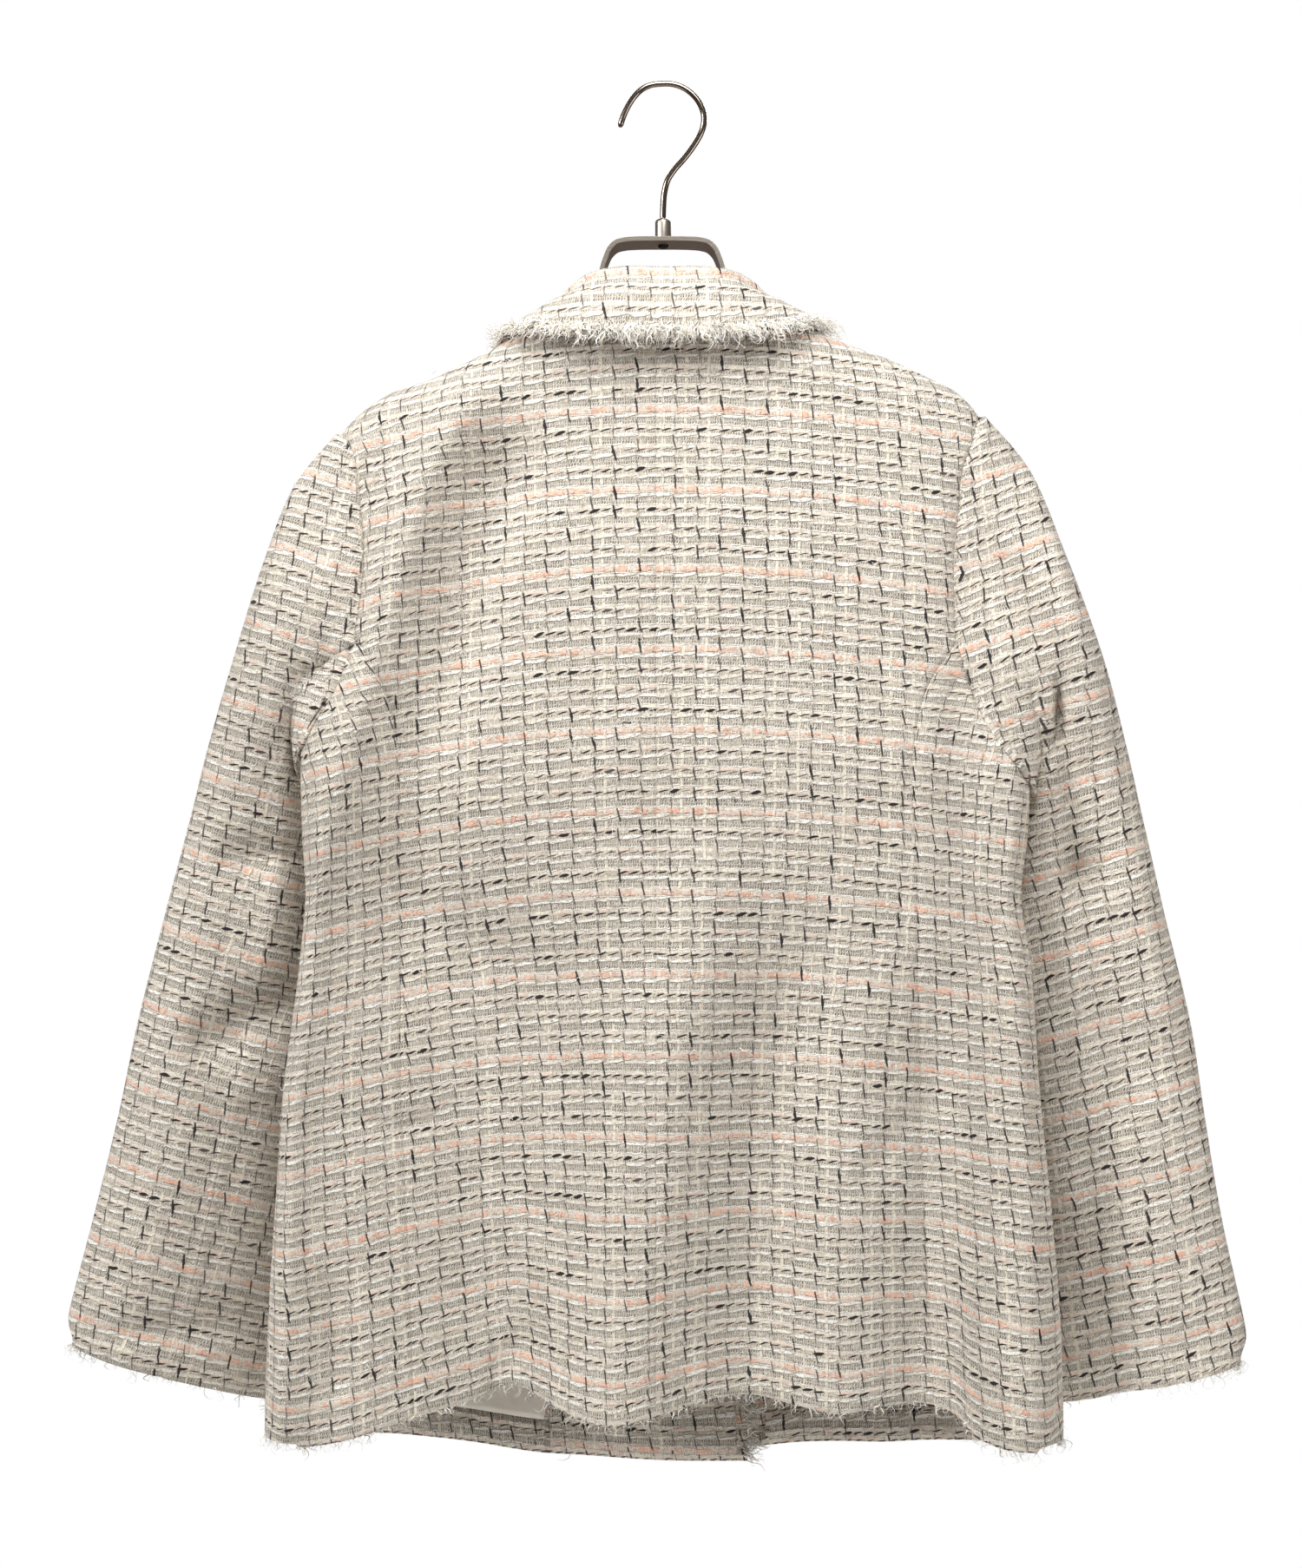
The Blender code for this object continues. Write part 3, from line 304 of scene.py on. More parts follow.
def mainYarns(b, noise, at):  # black dashes, finer grey dashes or peach tufts
    yarns = tweedYarns
    quick, grit = noise.quick, noise.grit
    bow = 1.0 - 0.95 * (abs(at.acrossHalf) * 2.0) ** 2.2
    least, byLuck, bySlub = yarns["dashHalf"]
    half = bow * (least + byLuck * at.halfLuck + bySlub * b.step(at.halfLuck, 0.88, 0.92))
    half = half * (at.isBlack + 0.8 * at.isFine)
    place = at.q + at.rise + (quick - 0.5) * 0.9
    dash = b.step(abs(place + at.acrossHalf * yarns["dashClimb"]) - half, 0.14, -0.2)
    dash = dash * b.step(at.halfLuck, 0.08, 0.16) * (at.isBlack + at.isFine)
    link = stripe(b, place, yarns["linkHalf"], 0.2) * b.step(grit, 0.35, 0.55) * (at.isBlack + 0.5 * at.isFine)
    tufts = b.step(at.alongRow(0.17, 9.2) + (grit - 0.5) * 0.6 + (quick - 0.5) * 0.4, 0.47, 0.6)
    bandHalf = yarns["bandHalf"][0] + yarns["bandHalf"][1] * at.alongRow(0.3, 3.3)
    place = at.q + at.rise + at.across * 0.8 + (quick - 0.5) * 2.2 + (grit - 0.5) * 1.2
    peach = b.step(abs(place) - bandHalf, 0.5, -0.5) * at.isPeach
    deep = b.step(at.alongRow(0.4, 6.6) + (grit - 0.5) * 0.8, 0.46, 0.7)
    return dash, link, peach, tufts, deep


def groundYarns(b, noise, at):  # the zones between the lines, pale patches and dark ticks
    yarns = tweedYarns
    quick, fine, grit = noise.quick, noise.fine, noise.grit
    paleAt, paleHalf = yarns["paleZone"]
    greyAt, greyHalf = yarns["greyZone"]
    pale = stripe(b, at.q - paleAt, paleHalf)
    grey = stripe(b, at.q - greyAt, greyHalf, 0.4)
    reach = b.step(abs(at.across + (at.luck - 0.5) * 0.5) * 2.0, 0.8, 0.45) * b.step(at.otherLuck, 0.3, 0.4)
    patch = stripe(b, at.q - paleAt + at.rise + at.across * 0.8, yarns["patchHalf"], 0.4)
    patch = patch * reach * (1.0 - at.isPeach)
    lean = at.u + at.q * 0.35 + (quick - 0.5) * 1.2
    turns = 2 * math.pi / yarns["tickPitch"]
    wave = (lean * turns).math("SINE") + (fine - 0.5) * 2.2
    offWave = ((lean + yarns["tickShift"]) * turns).math("SINE") + (fine - 0.5) * 2.2
    ticks = b.step(offWave, 0.1, 0.5) * stripe(b, at.q - yarns["lowTickRow"] + at.rise * 0.5, 0.5, 0.3)
    for height, ripple in zip(yarns["tickRows"], (wave, offWave)):
        ticks = ticks.over(b.step(ripple, 0.0, 0.4) * stripe(b, at.q - height + at.wander * 0.4, 0.75, 0.25))
    ticks = ticks * (0.3 + 0.7 * b.step(grit + (noise.patchy - 0.5) * 0.8, 0.38, 0.58))
    return pale, grey, patch, ticks


def warpYarns(b, noise, at, white, ragged):  # black ones that dip under and lean, cream ones midway
    yarns = tweedYarns
    number = (at.u / at.pitch + 0.5).whole()
    shift = (number * 0.5).within() + 0.35 * b.chance(number, 7.3)
    laps = at.v / at.group + shift
    luck = b.chance(number, laps.whole() + 0.5)
    lift = laps.within() - 0.4
    leaned = (at.u - lift * yarns["blackLean"] + (noise.quick - 0.5) * 0.7) / at.pitch + 0.5
    leaned = abs(leaned.within() - 0.5) * at.pitch
    seen = b.step(abs(lift) - 0.12 * luck, 0.31, 0.19)
    least, byLuck, bySlub = yarns["blackHalf"]
    swell = bySlub * b.step(luck, 0.9, 0.94) * b.step(abs(lift), 0.18, 0.06)
    black = b.step(leaned - (least + byLuck * luck + swell) + ragged * 0.45, 0.18, -0.16)
    black = black * (seen * (0.62 + 0.38 * luck) + 0.22 * (1.0 - seen))
    black = black * (1.0 - 0.85 * white * (1.0 - seen))
    thin, gain = yarns["creamHalf"]
    half = thin + gain * b.step(b.chance(at.cell, 3.9), 0.5, 0.75)
    place = at.across * at.pitch - yarns["creamAt"] + (noise.slow - 0.5) * 1.8
    cream = b.step(abs(place) - half, 0.3, -0.2) * b.step(b.chance(at.cell, (at.v / 3.8).whole()), 0.2, 0.4)
    return black, cream * (0.4 + 0.6 * b.step(noise.grit, 0.3, 0.5))


def tweedMaterial():
    yarns = tweedYarns
    made, b, shader = newMaterial("tweed")
    uv = b.node("ShaderNodeUVMap", {"uv_map": "cloth"}).outputs[0]
    noise = tweedNoise(b, uv)
    at = tweedPlaces(b, uv, noise)
    fine, grit, twist, upright = noise.fine, noise.grit, noise.twist, noise.upright
    white, shadow, thin, ragged = whiteYarns(b, noise, at)
    dash, link, peach, tufts, deep = mainYarns(b, noise, at)
    pale, grey, patch, ticks = groundYarns(b, noise, at)
    black, cream = warpYarns(b, noise, at, white, ragged)

    softPatch = b.blend(b.step(at.luck, 0.45, 0.55), yarns["cream"], yarns["blush"])
    whiteTone = b.blend(b.step(at.third, 0.5, 0.9) * 0.6, yarns["white"], yarns["cream"])
    layers = (  # from the ground up: how much of it shows, and its colour
        (grey * 0.9, yarns["greyGround"]),
        (pale * (0.55 + 0.45 * b.step(noise.patchy, 0.35, 0.6)), yarns["paleGround"]),
        (b.step(upright, 0.52, 0.66) * 0.6, yarns["white"]),
        (b.step(upright, 0.46, 0.32) * 0.4, yarns["tick"]),
        (shadow * 0.32, yarns["tick"]),
        (ticks * 0.92, yarns["tick"]),
        (patch * (0.45 + 0.55 * b.step(grit, 0.3, 0.6)), softPatch),
        (peach * 0.45, yarns["blush"]),
        (peach * tufts, b.blend(deep * 0.8, yarns["peach"], yarns["peachDeep"])),
        (thin * b.step(twist, 0.25, 0.5), yarns["white"]),
        (white, whiteTone),
        (white * b.step(twist, 0.44, 0.3) * 0.35, yarns["ground"]),
        (cream * 0.85, yarns["cream"]),
        (b.step(grit, 0.58, 0.72) * 0.35, yarns["cream"]),
        (b.step(fine, 0.55, 0.68) * 0.4, yarns["cream"]),
        (b.step(fine, 0.43, 0.27) * 0.6, yarns["tick"]),
        (b.step(grit, 0.4, 0.28) * 0.34, yarns["tick"]),
        (dash.over(link * 0.55), b.blend(at.isFine * 0.8, yarns["black"], yarns["darkGrey"])),
        (black, yarns["black"]),
    )
    colour = yarns["ground"]
    for amount, yarn in layers:
        colour = b.blend(amount, colour, yarn)
    dust = b.step(b.chance(at.cell + 0.4, at.row + 0.9), 0.2, 0.9) * 0.14
    colour = b.blend(1.0, colour, b.blend(dust, yarns["plain"], yarns["dusty"]), "MULTIPLY")
    height = white * 0.8 + peach * 0.3 + peach * tufts * 0.35 + dash * 0.45 + black * 0.35 + cream * 0.4
    height = height + patch * 0.3 + thin * 0.45 - ticks * 0.25 + fine * 0.25 + upright * 0.35 + grit * 0.25
    b.plug(shader.inputs["Base Color"], colour)
    b.plug(shader.inputs["Normal"], b.bump(0.9, yarns["relief"], height))
    shader.inputs["Roughness"].default_value = yarns["roughness"]
    shader.inputs["Sheen Weight"].default_value = yarns["sheen"]
    return made


satinSettings = {
    "light": screen(253, 247, 235),
    "shade": screen(240, 230, 210),
    "roughness": 0.38,
    "thread": 0.0004,
    "relief": 0.002,
}


def satinMaterial():
    made, b, shader = newMaterial("satinLining")
    uv = b.node("ShaderNodeUVMap", {"uv_map": "cloth"}).outputs[0]
    threads = (b.split(uv)[0] * (2 * math.pi / satinSettings["thread"])).math("SINE")
    cloud = b.noise(uv, 60.0, 3.0)
    colour = b.blend(b.step(cloud, 0.35, 0.7) * 0.5, satinSettings["light"], satinSettings["shade"])
    b.plug(shader.inputs["Base Color"], colour)
    b.plug(shader.inputs["Normal"], b.bump(0.5, satinSettings["relief"], cloud + threads * 0.03))
    b.plug(shader.inputs["Roughness"], satinSettings["roughness"] + cloud * 0.12)
    return made


yarnSettings = {
    "white": screen(255, 253, 248),
    "cream": screen(243, 235, 217),
    "grey": screen(184, 179, 172),
    "black": screen(52, 48, 50),
    "roughness": 0.9,
}


def yarnMaterial():
    made, b, shader = newMaterial("looseYarn")
    tone = b.number(b.node("ShaderNodeAttribute", {"attribute_name": "tone"}).outputs["Fac"])
    spot = b.node("ShaderNodeTexCoord").outputs["Object"]
    fuzz = b.noise(spot, 900.0)
    colour = b.blend(b.step(tone, 0.6, 0.7), yarnSettings["white"], yarnSettings["cream"])
    colour = b.blend(b.step(tone, 0.9, 0.94), colour, yarnSettings["grey"])
    colour = b.blend(b.step(tone, 0.97, 0.985), colour, yarnSettings["black"])
    colour = b.blend(fuzz * 0.06, colour, yarnSettings["grey"])
    b.plug(shader.inputs["Base Color"], colour)
    b.plug(shader.inputs["Normal"], b.bump(0.4, 0.0004, fuzz))
    shader.inputs["Roughness"].default_value = yarnSettings["roughness"]
    return made


steelSettings = {  # grain is the scale of its brush strokes along each axis
    "brushedSteel": {
        "light": screen(199, 191, 181), "dark": screen(150, 140, 129), "roughness": 0.27,
        "grain": (60.0, 2600.0, 900.0), "relief": 0.18,
    },
    "wireSteel": {
        "light": screen(150, 139, 128), "dark": screen(136, 125, 114), "roughness": 0.1,
        "grain": (90.0, 90.0, 90.0), "relief": 0.02,
    },
    "blackenedSteel": {
        "light": screen(70, 66, 64), "dark": screen(44, 41, 40), "roughness": 0.42,
        "grain": (400.0, 400.0, 400.0), "relief": 0.18,
    },
}


def steelMaterial(name):
    values = steelSettings[name]
    made, b, shader = newMaterial(name)
    spot = b.node("ShaderNodeTexCoord").outputs["Object"]
    strokes = b.node("ShaderNodeMapping", {"vector_type": "POINT"}, Vector=spot, Scale=values["grain"])
    lines = b.noise(strokes.outputs[0], 1.0, 3.0, 0.6)
    cloud = b.noise(spot, 55.0)
    b.plug(shader.inputs["Base Color"], b.blend(lines * 0.6 + cloud * 0.3, values["light"], values["dark"]))
    b.plug(shader.inputs["Roughness"], values["roughness"] + lines * 0.14)
    b.plug(shader.inputs["Normal"], b.bump(values["relief"], 0.0003, lines))
    shader.inputs["Metallic"].default_value = 1.0
    return made


tweed = tweedMaterial()
satin = satinMaterial()
looseYarn = yarnMaterial()
steel = steelMaterial("brushedSteel")
wireSteel = steelMaterial("wireSteel")
blackened = steelMaterial("blackenedSteel")
print("materials made")

# the jacket's body: a closed ring at several heights, hung from one shoulder line

Level = namedtuple("Level", "z left right sideY back front frontPower")
Point = namedtuple("Point", "x z")
Run = namedtuple("Run", "z x")
Fold = namedtuple("Fold", "route width height fadeIn fadeOut", defaults=(1, 1))
bodyShape = {
    "levels": (
        Level(-800, -226, 228, -22, 25, 42, 0.95),
        Level(-760, -226, 228, -22, 25, 43, 0.95),
        Level(-700, -224, 226, -22, 24, 45, 1.0),
        Level(-640, -220, 221, -22, 23, 45, 1.05),
        Level(-580, -216, 215, -22, 22, 45, 1.1),
        Level(-500, -206, 209, -22, 22, 43, 1.15),
        Level(-465, -203, 204, -22, 23, 42, 1.15),
        Level(-430, -205, 208, -21, 24, 41, 1.15),
        Level(-386, -206, 209, -19, 26, 37, 1.0),
        Level(-330, -203, 205, -13, 26, 32, 0.7),
        Level(-260, -200, 200, -9, 24, 26, 0.55),
        Level(-190, -198, 198, -6, 20, 22, 0.5),
        Level(-100, -196, 196, -6, 20, 22, 0.5),
    ),
    "shoulder": (
        Point(-186, -201), Point(-175, -190), Point(-160, -179), Point(-133, -169), Point(-106, -156),
        Point(-75, -139), Point(-40, -120), Point(0, -106), Point(40, -118), Point(75, -135),
        Point(102, -147), Point(129, -157), Point(153, -168), Point(170, -177), Point(183, -190),
    ),
    "shoulderTip": {-1: -184, 1: 182},
    "shoulderRound": 34.0,
    "shoulderPower": 2.3,
    "edgeRound": 6.0,
    "backPower": 0.6,
    "neckHalfWidth": 75,
    "neckBackZ": -137,
    "neckDrop": 68,
    "centreBack": -3.5,
    "hemLevel": -780.0,  # where a panel's outer edges are read to place its hem
    "cloth": 2.0,
    "lap": 3.4,
    "lapFrom": 66,
    "lapTo": 96,
}
backHem = (
    Point(-226, -771), Point(-214, -774), Point(-181, -771), Point(-152, -762), Point(-110, -750),
    Point(-79, -742), Point(-66, -749), Point(-43, -758), Point(-30, -759), Point(-2, -753), Point(28, -745),
    Point(50, -744), Point(77, -749), Point(95, -752), Point(132, -749), Point(153, -750), Point(165, -755),
    Point(173, -765), Point(186, -773), Point(207, -778), Point(221, -778), Point(228, -773),
)
frontHem = {
    -1: (
        Point(-226, -771), Point(-190, -774), Point(-157, -776), Point(-105, -785), Point(-59, -791),
        Point(0, -796), Point(52, -796),
    ),
    1: (
        Point(-56, -789), Point(0, -790), Point(56, -788), Point(107, -783), Point(153, -780),
        Point(200, -777), Point(228, -773),
    ),
}
sideBack = {
    -1: (Run(-780, -139), Run(-668, -143), Run(-590, -147), Run(-449, -149), Run(-371, -151),
         Run(-346, -157), Run(-321, -172)),
    1: (Run(-780, 154), Run(-668, 149), Run(-590, 146), Run(-449, 143), Run(-371, 143),
        Run(-346, 150), Run(-321, 167)),
}
sideFront = {
    -1: (Run(-780, -188), Run(-640, -183), Run(-500, -172), Run(-386, -166), Run(-333, -164)),
    1: (Run(-780, 190), Run(-640, 184), Run(-500, 174), Run(-386, 168), Run(-333, 164)),
}
holeBack = {
    -1: (Run(-382, -204), Run(-371, -199), Run(-351, -186), Run(-331, -178), Run(-300, -172),
         Run(-266, -170), Run(-244, -172), Run(-226, -174), Run(-212, -177), Run(-201, -184)),
    1: (Run(-400, 206), Run(-384, 194), Run(-366, 182), Run(-344, 173), Run(-321, 167),
        Run(-300, 166), Run(-260, 167), Run(-244, 169), Run(-223, 171), Run(-209, 176), Run(-190, 182)),
}
holeFront = {
    -1: (Run(-382, -202), Run(-368, -190), Run(-352, -174), Run(-333, -164), Run(-300, -160),
         Run(-260, -162), Run(-226, -169), Run(-201, -184)),
    1: (Run(-400, 204), Run(-380, 190), Run(-357, 174), Run(-333, 164), Run(-300, 159),
        Run(-260, 160), Run(-220, 168), Run(-190, 182)),
}
underarmZ = {-1: -382, 1: -400}
joinZ = {"back": -321, "front": -333}
frontEdge = (Run(-800, 50), Run(-650, 42), Run(-400, 26), Run(-205, 10))
backFolds = (
    # the long ridge from the left shoulder down to the left edge, and the hollows beside it
    Fold(
        ((-98, -155), (-138, -240), (-162, -330), (-182, -390), (-204, -480), (-216, -600), (-217, -760)),
        16, 14, 50,
    ),
    Fold(((-74, -180), (-111, -280), (-134, -380), (-144, -460), (-150, -560)), 24, -14, 60, 110),
    Fold(((-128, -400), (-108, -520), (-97, -640), (-88, -765)), 52, -22, 130),
    # the centre ridge, then hollows and low ridges to its right
    Fold(((36, -400), (20, -480), (2, -560), (-10, -660), (-26, -765)), 28, 14, 150),
    Fold(((96, -420), (78, -500), (62, -580), (54, -680), (48, -765)), 23, -10, 150),
    Fold(((122, -460), (110, -560), (106, -640), (102, -765)), 18, 5, 130),
    Fold(((152, -480), (152, -620), (142, -765)), 15, -6, 90),
    Fold(((194, -350), (203, -430), (206, -600), (210, -765)), 13, 7, 50),
    Fold(((172, -320), (166, -400), (176, -460)), 12, -4, 30, 30),
    Fold(((184, -215), (176, -270), (174, -340)), 14, -6, 30, 30),
    # short creases
    Fold(((-190, -586), (-150, -597), (-108, -584)), 6, -3, 25, 30),
    Fold(((-190, -665), (-184, -700), (-182, -750)), 8, -5, 30, 10),
    Fold(((-160, -455), (-100, -500), (-50, -505)), 12, -2.5, 50, 60),
    Fold(((-104, -620), (-78, -665), (-66, -720)), 8, 2.5, 30, 30),
    Fold(((162, -575), (128, -600), (104, -640)), 8, -2, 25, 30),
    Fold(((60, -225), (0, -236), (-60, -226)), 14, -1.2, 40, 40),
    Fold(((-70, -700), (-92, -735), (-98, -752)), 8, -3, 25, 5),
)
frontFolds = (
    Fold(((-120, -520), (-112, -790)), 20, 5),
    Fold(((-66, -560), (-70, -790)), 18, -4),
    Fold(((80, -520), (84, -790)), 20, 5),
    Fold(((130, -560), (128, -780)), 16, -4),
    Fold(((-110, -210), (-90, -420)), 22, -3),
    Fold(((110, -205), (92, -420)), 22, -3),
)
clothGrid = {
    "lowRows": 120,  # from the hem to where the side seam ends
    "highRows": 54,
    "crowding": 2.0,
    "neckColumns": 26,
    "shoulderColumns": 38,
    "sideColumns": 46,
    "holeSamples": 120,
    "sleeveRows": 150,
    "collarRows": 54,
}


def through(keys, values, at):
    keys, values = np.asarray(keys, float), np.asarray(values, float)
    at = np.clip(at, keys[0], keys[-1])
    slopes = np.gradient(values, keys)
    k = np.clip(np.searchsorted(keys, at, side="right") - 1, 0, len(keys) - 2)
    width = keys[k + 1] - keys[k]
    f = (at - keys[k]) / width
    start = (1 + 2 * f) * (1 - f) ** 2 * values[k] + f * (1 - f) ** 2 * width * slopes[k]
    return start + f * f * (3 - 2 * f) * values[k + 1] - f * f * (1 - f) * width * slopes[k + 1]


def column(table, key, value, at):
    return through([getattr(row, key) for row in table], [getattr(row, value) for row in table], at)


def level(name, z):
    return column(bodyShape["levels"], "z", name, z)


def smoothStep(low, high, at):
    f = np.clip((at - low) / (high - low), 0, 1)
    return f * f * (3 - 2 * f)


def mix(a, b, f):
    return a + (b - a) * f


def unit(vectors):
    return vectors / np.linalg.norm(vectors, axis=-1, keepdims=True)


def lengthsAlong(lines):  # how far each point is from the first, down the first axis
    steps = np.linalg.norm(np.diff(lines, axis=0), axis=-1)
    return np.concatenate([np.zeros((1,) + steps.shape[1:]), np.cumsum(steps, axis=0)])


def foldHeight(folds, x, z):
    height = np.zeros(np.broadcast(x, z).shape)
    for fold in folds:
        nearest, passed, done = np.full(height.shape, np.inf), np.zeros(height.shape), 0.0
        for (x0, z0), (x1, z1) in zip(fold.route, fold.route[1:]):
            run = np.array([x1 - x0, z1 - z0], float)
            along = np.clip(((x - x0) * run[0] + (z - z0) * run[1]) / (run @ run), 0, 1)
            gap = (x - x0 - along * run[0]) ** 2 + (z - z0 - along * run[1]) ** 2
            passed = np.where(gap < nearest, done + along * np.hypot(*run), passed)
            nearest = np.minimum(nearest, gap)
            done += np.hypot(*run)
        left = done - passed + (fold.fadeOut == 1)  # a fold with no fade is whole to its end
        fade = smoothStep(0, fold.fadeIn, passed) * smoothStep(0, fold.fadeOut, left)
        height += fold.height * fade * np.exp(-nearest / fold.width**2)
    return height


def halfAndCentre(z):
    left, right = level("left", z), level("right", z)
    return (right - left) / 2, (left + right) / 2


def torso(side, p, z):  # p runs from the middle of the back round the side to the middle of the front
    shape = bodyShape
    rounding = shape["edgeRound"]
    half, centre = halfAndCentre(z)
    flat = half - rounding
    turn = np.clip((p - flat) / rounding, 0, math.pi)
    after = 2 * flat + math.pi * rounding - p
    reach = np.where(turn <= 0, p, np.where(turn >= math.pi, after, flat + rounding * np.sin(turn)))
    x = centre + side * reach
    fullness = np.clip(1 - (reach / half) ** 2, 0, 1)
    inside = np.clip(fullness / 0.1, 0, 1)  # folds end before the side's edge
    behind = level("back", z) * fullness ** shape["backPower"] + inside * foldHeight(backFolds, x, z)
    before = level("front", z) * fullness ** level("frontPower", z) + inside * foldHeight(frontFolds, x, z)
    if side > 0:
        before = before + shape["lap"] * smoothStep(-shape["lapTo"], -shape["lapFrom"], -x)
    y = level("sideY", z) - rounding * np.cos(turn)
    y = y + np.where(turn < math.pi / 2, -behind, before)
    drop = np.clip((column(shape["shoulder"], "x", "z", x) - z) / shape["shoulderRound"], 0, 1)
    swell = (1 - (1 - drop) ** shape["shoulderPower"]) ** (1 / shape["shoulderPower"])
    return np.stack([x, y * swell, z + 0 * x], axis=-1)


def torsoNormals(side, p, z, step=0.4):
    across = torso(side, p + step, z) - torso(side, p - step, z)
    up = torso(side, p, z + step) - torso(side, p, z - step)
    return unit(side * np.cross(across, up))


def backPlace(side, x, z):
    half, centre = halfAndCentre(z)
    flat = half - bodyShape["edgeRound"]
    reach = side * (x - centre)
    turn = np.arcsin(np.clip((reach - flat) / bodyShape["edgeRound"], 0, 1))
    return np.where(reach <= flat, reach, flat + bodyShape["edgeRound"] * turn)


def frontPlace(side, x, z):
    half, _ = halfAndCentre(z)
    return 2 * (half - bodyShape["edgeRound"]) + math.pi * bodyShape["edgeRound"] - backPlace(side, x, z)


def neckZ(side, x, front):
    if not front:
        return bodyShape["neckBackZ"] + 0 * x
    across = np.clip(side * x / bodyShape["neckHalfWidth"], 0, 1)
    return bodyShape["neckBackZ"] - bodyShape["neckDrop"] * np.sqrt(np.clip(1 - across**2, 0, 1))


def panelRows(bottom, join, top):
    low, high = clothGrid["lowRows"], clothGrid["highRows"]
    lower = [mix(bottom, join, i / low) for i in range(low + 1)]
    upper = [mix(join, top, 1 - (1 - i / high) ** clothGrid["crowding"]) for i in range(1, high + 1)]
    return np.array(lower + upper)


def bodyPanel(side, front):
    seam = (sideFront if front else sideBack)[side]
    hole = (holeFront if front else holeBack)[side]
    join = joinZ["front" if front else "back"]
    tipX = bodyShape["shoulderTip"][side]
    tipZ = float(column(bodyShape["shoulder"], "x", "z", tipX))

    def innerX(z):
        return -side * column(frontEdge, "z", "x", z) if front else bodyShape["centreBack"] + 0 * z

    def outerX(z):
        high = np.where(z < tipZ, column(hole, "z", "x", z), tipX)
        return np.where(z <= join, column(seam, "z", "x", z), high)

    neckColumns, shoulderColumns = clothGrid["neckColumns"], clothGrid["shoulderColumns"]
    halfNeck = bodyShape["neckHalfWidth"]
    start = float(innerX(np.array(bodyShape["neckBackZ"] - bodyShape["neckDrop"])))
    if front:
        turns = np.linspace(math.asin(start / halfNeck), side * math.pi / 2, neckColumns + 1)
        neckX = list(halfNeck * np.sin(turns))
    else:
        neckX = list(np.linspace(start, side * halfNeck, neckColumns + 1))
    topX = np.array(neckX + list(np.linspace(side * halfNeck, tipX, shoulderColumns + 1))[1:])
    shares = (topX - start) / (tipX - start)
    topZ = np.where(
        np.arange(len(topX)) < neckColumns,
        neckZ(side, topX, front),
        column(bodyShape["shoulder"], "x", "z", topX),
    )
    hem = frontHem[side] if front else backHem
    hemLevel = np.full(len(shares), bodyShape["hemLevel"])
    bottomZ = column(hem, "x", "z", mix(innerX(hemLevel), outerX(hemLevel), shares))
    z = panelRows(bottomZ, np.full(len(shares), float(join)), topZ)
    x = mix(innerX(z), outerX(z), shares)
    x[-1] = topX
    p = frontPlace(side, x, z) if front else backPlace(side, x, z)
    normals = torsoNormals(side, p, z)
    normals[-1, neckColumns:, 1] = 0
    return torso(side, p, z), unit(normals)


def sidePanel(side, backEdge, frontSeam):
    def seams(z):
        behind = backPlace(side, column(sideBack[side], "z", "x", z), z)
        return behind, frontPlace(side, column(sideFront[side], "z", "x", z), z)

    holeZ = np.linspace(underarmZ[side] + 0.01, joinZ["back"], clothGrid["holeSamples"])
    fromBack, fromFront = seams(holeZ)
    behind = backPlace(side, column(holeBack[side], "z", "x", holeZ), holeZ)
    before = frontPlace(side, column(holeFront[side], "z", "x", holeZ), holeZ)
    shareBehind = (behind - fromBack) / (fromFront - fromBack)
    shareBefore = (before - fromBack) / (fromFront - fromBack)
    shares = np.linspace(0, 1, clothGrid["sideColumns"] + 1)
    topZ = np.where(
        shares < (shareBehind[0] + shareBefore[0]) / 2,
        np.interp(shares, shareBehind[::-1], holeZ[::-1]),
        np.interp(shares, shareBefore, holeZ),
    )
    topZ[0], topZ[-1] = joinZ["back"], joinZ["front"]
    hemLevel = np.full(len(shares), bodyShape["hemLevel"])
    hemX = torso(side, mix(*seams(hemLevel), shares), hemLevel)[..., 0]
    hemZ = np.where(shares < 0.5, column(backHem, "x", "z", hemX), column(frontHem[side], "x", "z", hemX))
    hemZ[0], hemZ[-1] = backEdge[0, 2], frontSeam[0, 2]
    z = panelRows(hemZ, topZ, topZ)[: clothGrid["lowRows"] + 1]
    p = mix(*seams(z), shares)
    return torso(side, p, z), torsoNormals(side, p, z)


# sleeves: stations from the armhole to the cuff, and angles from the outer edge round the back

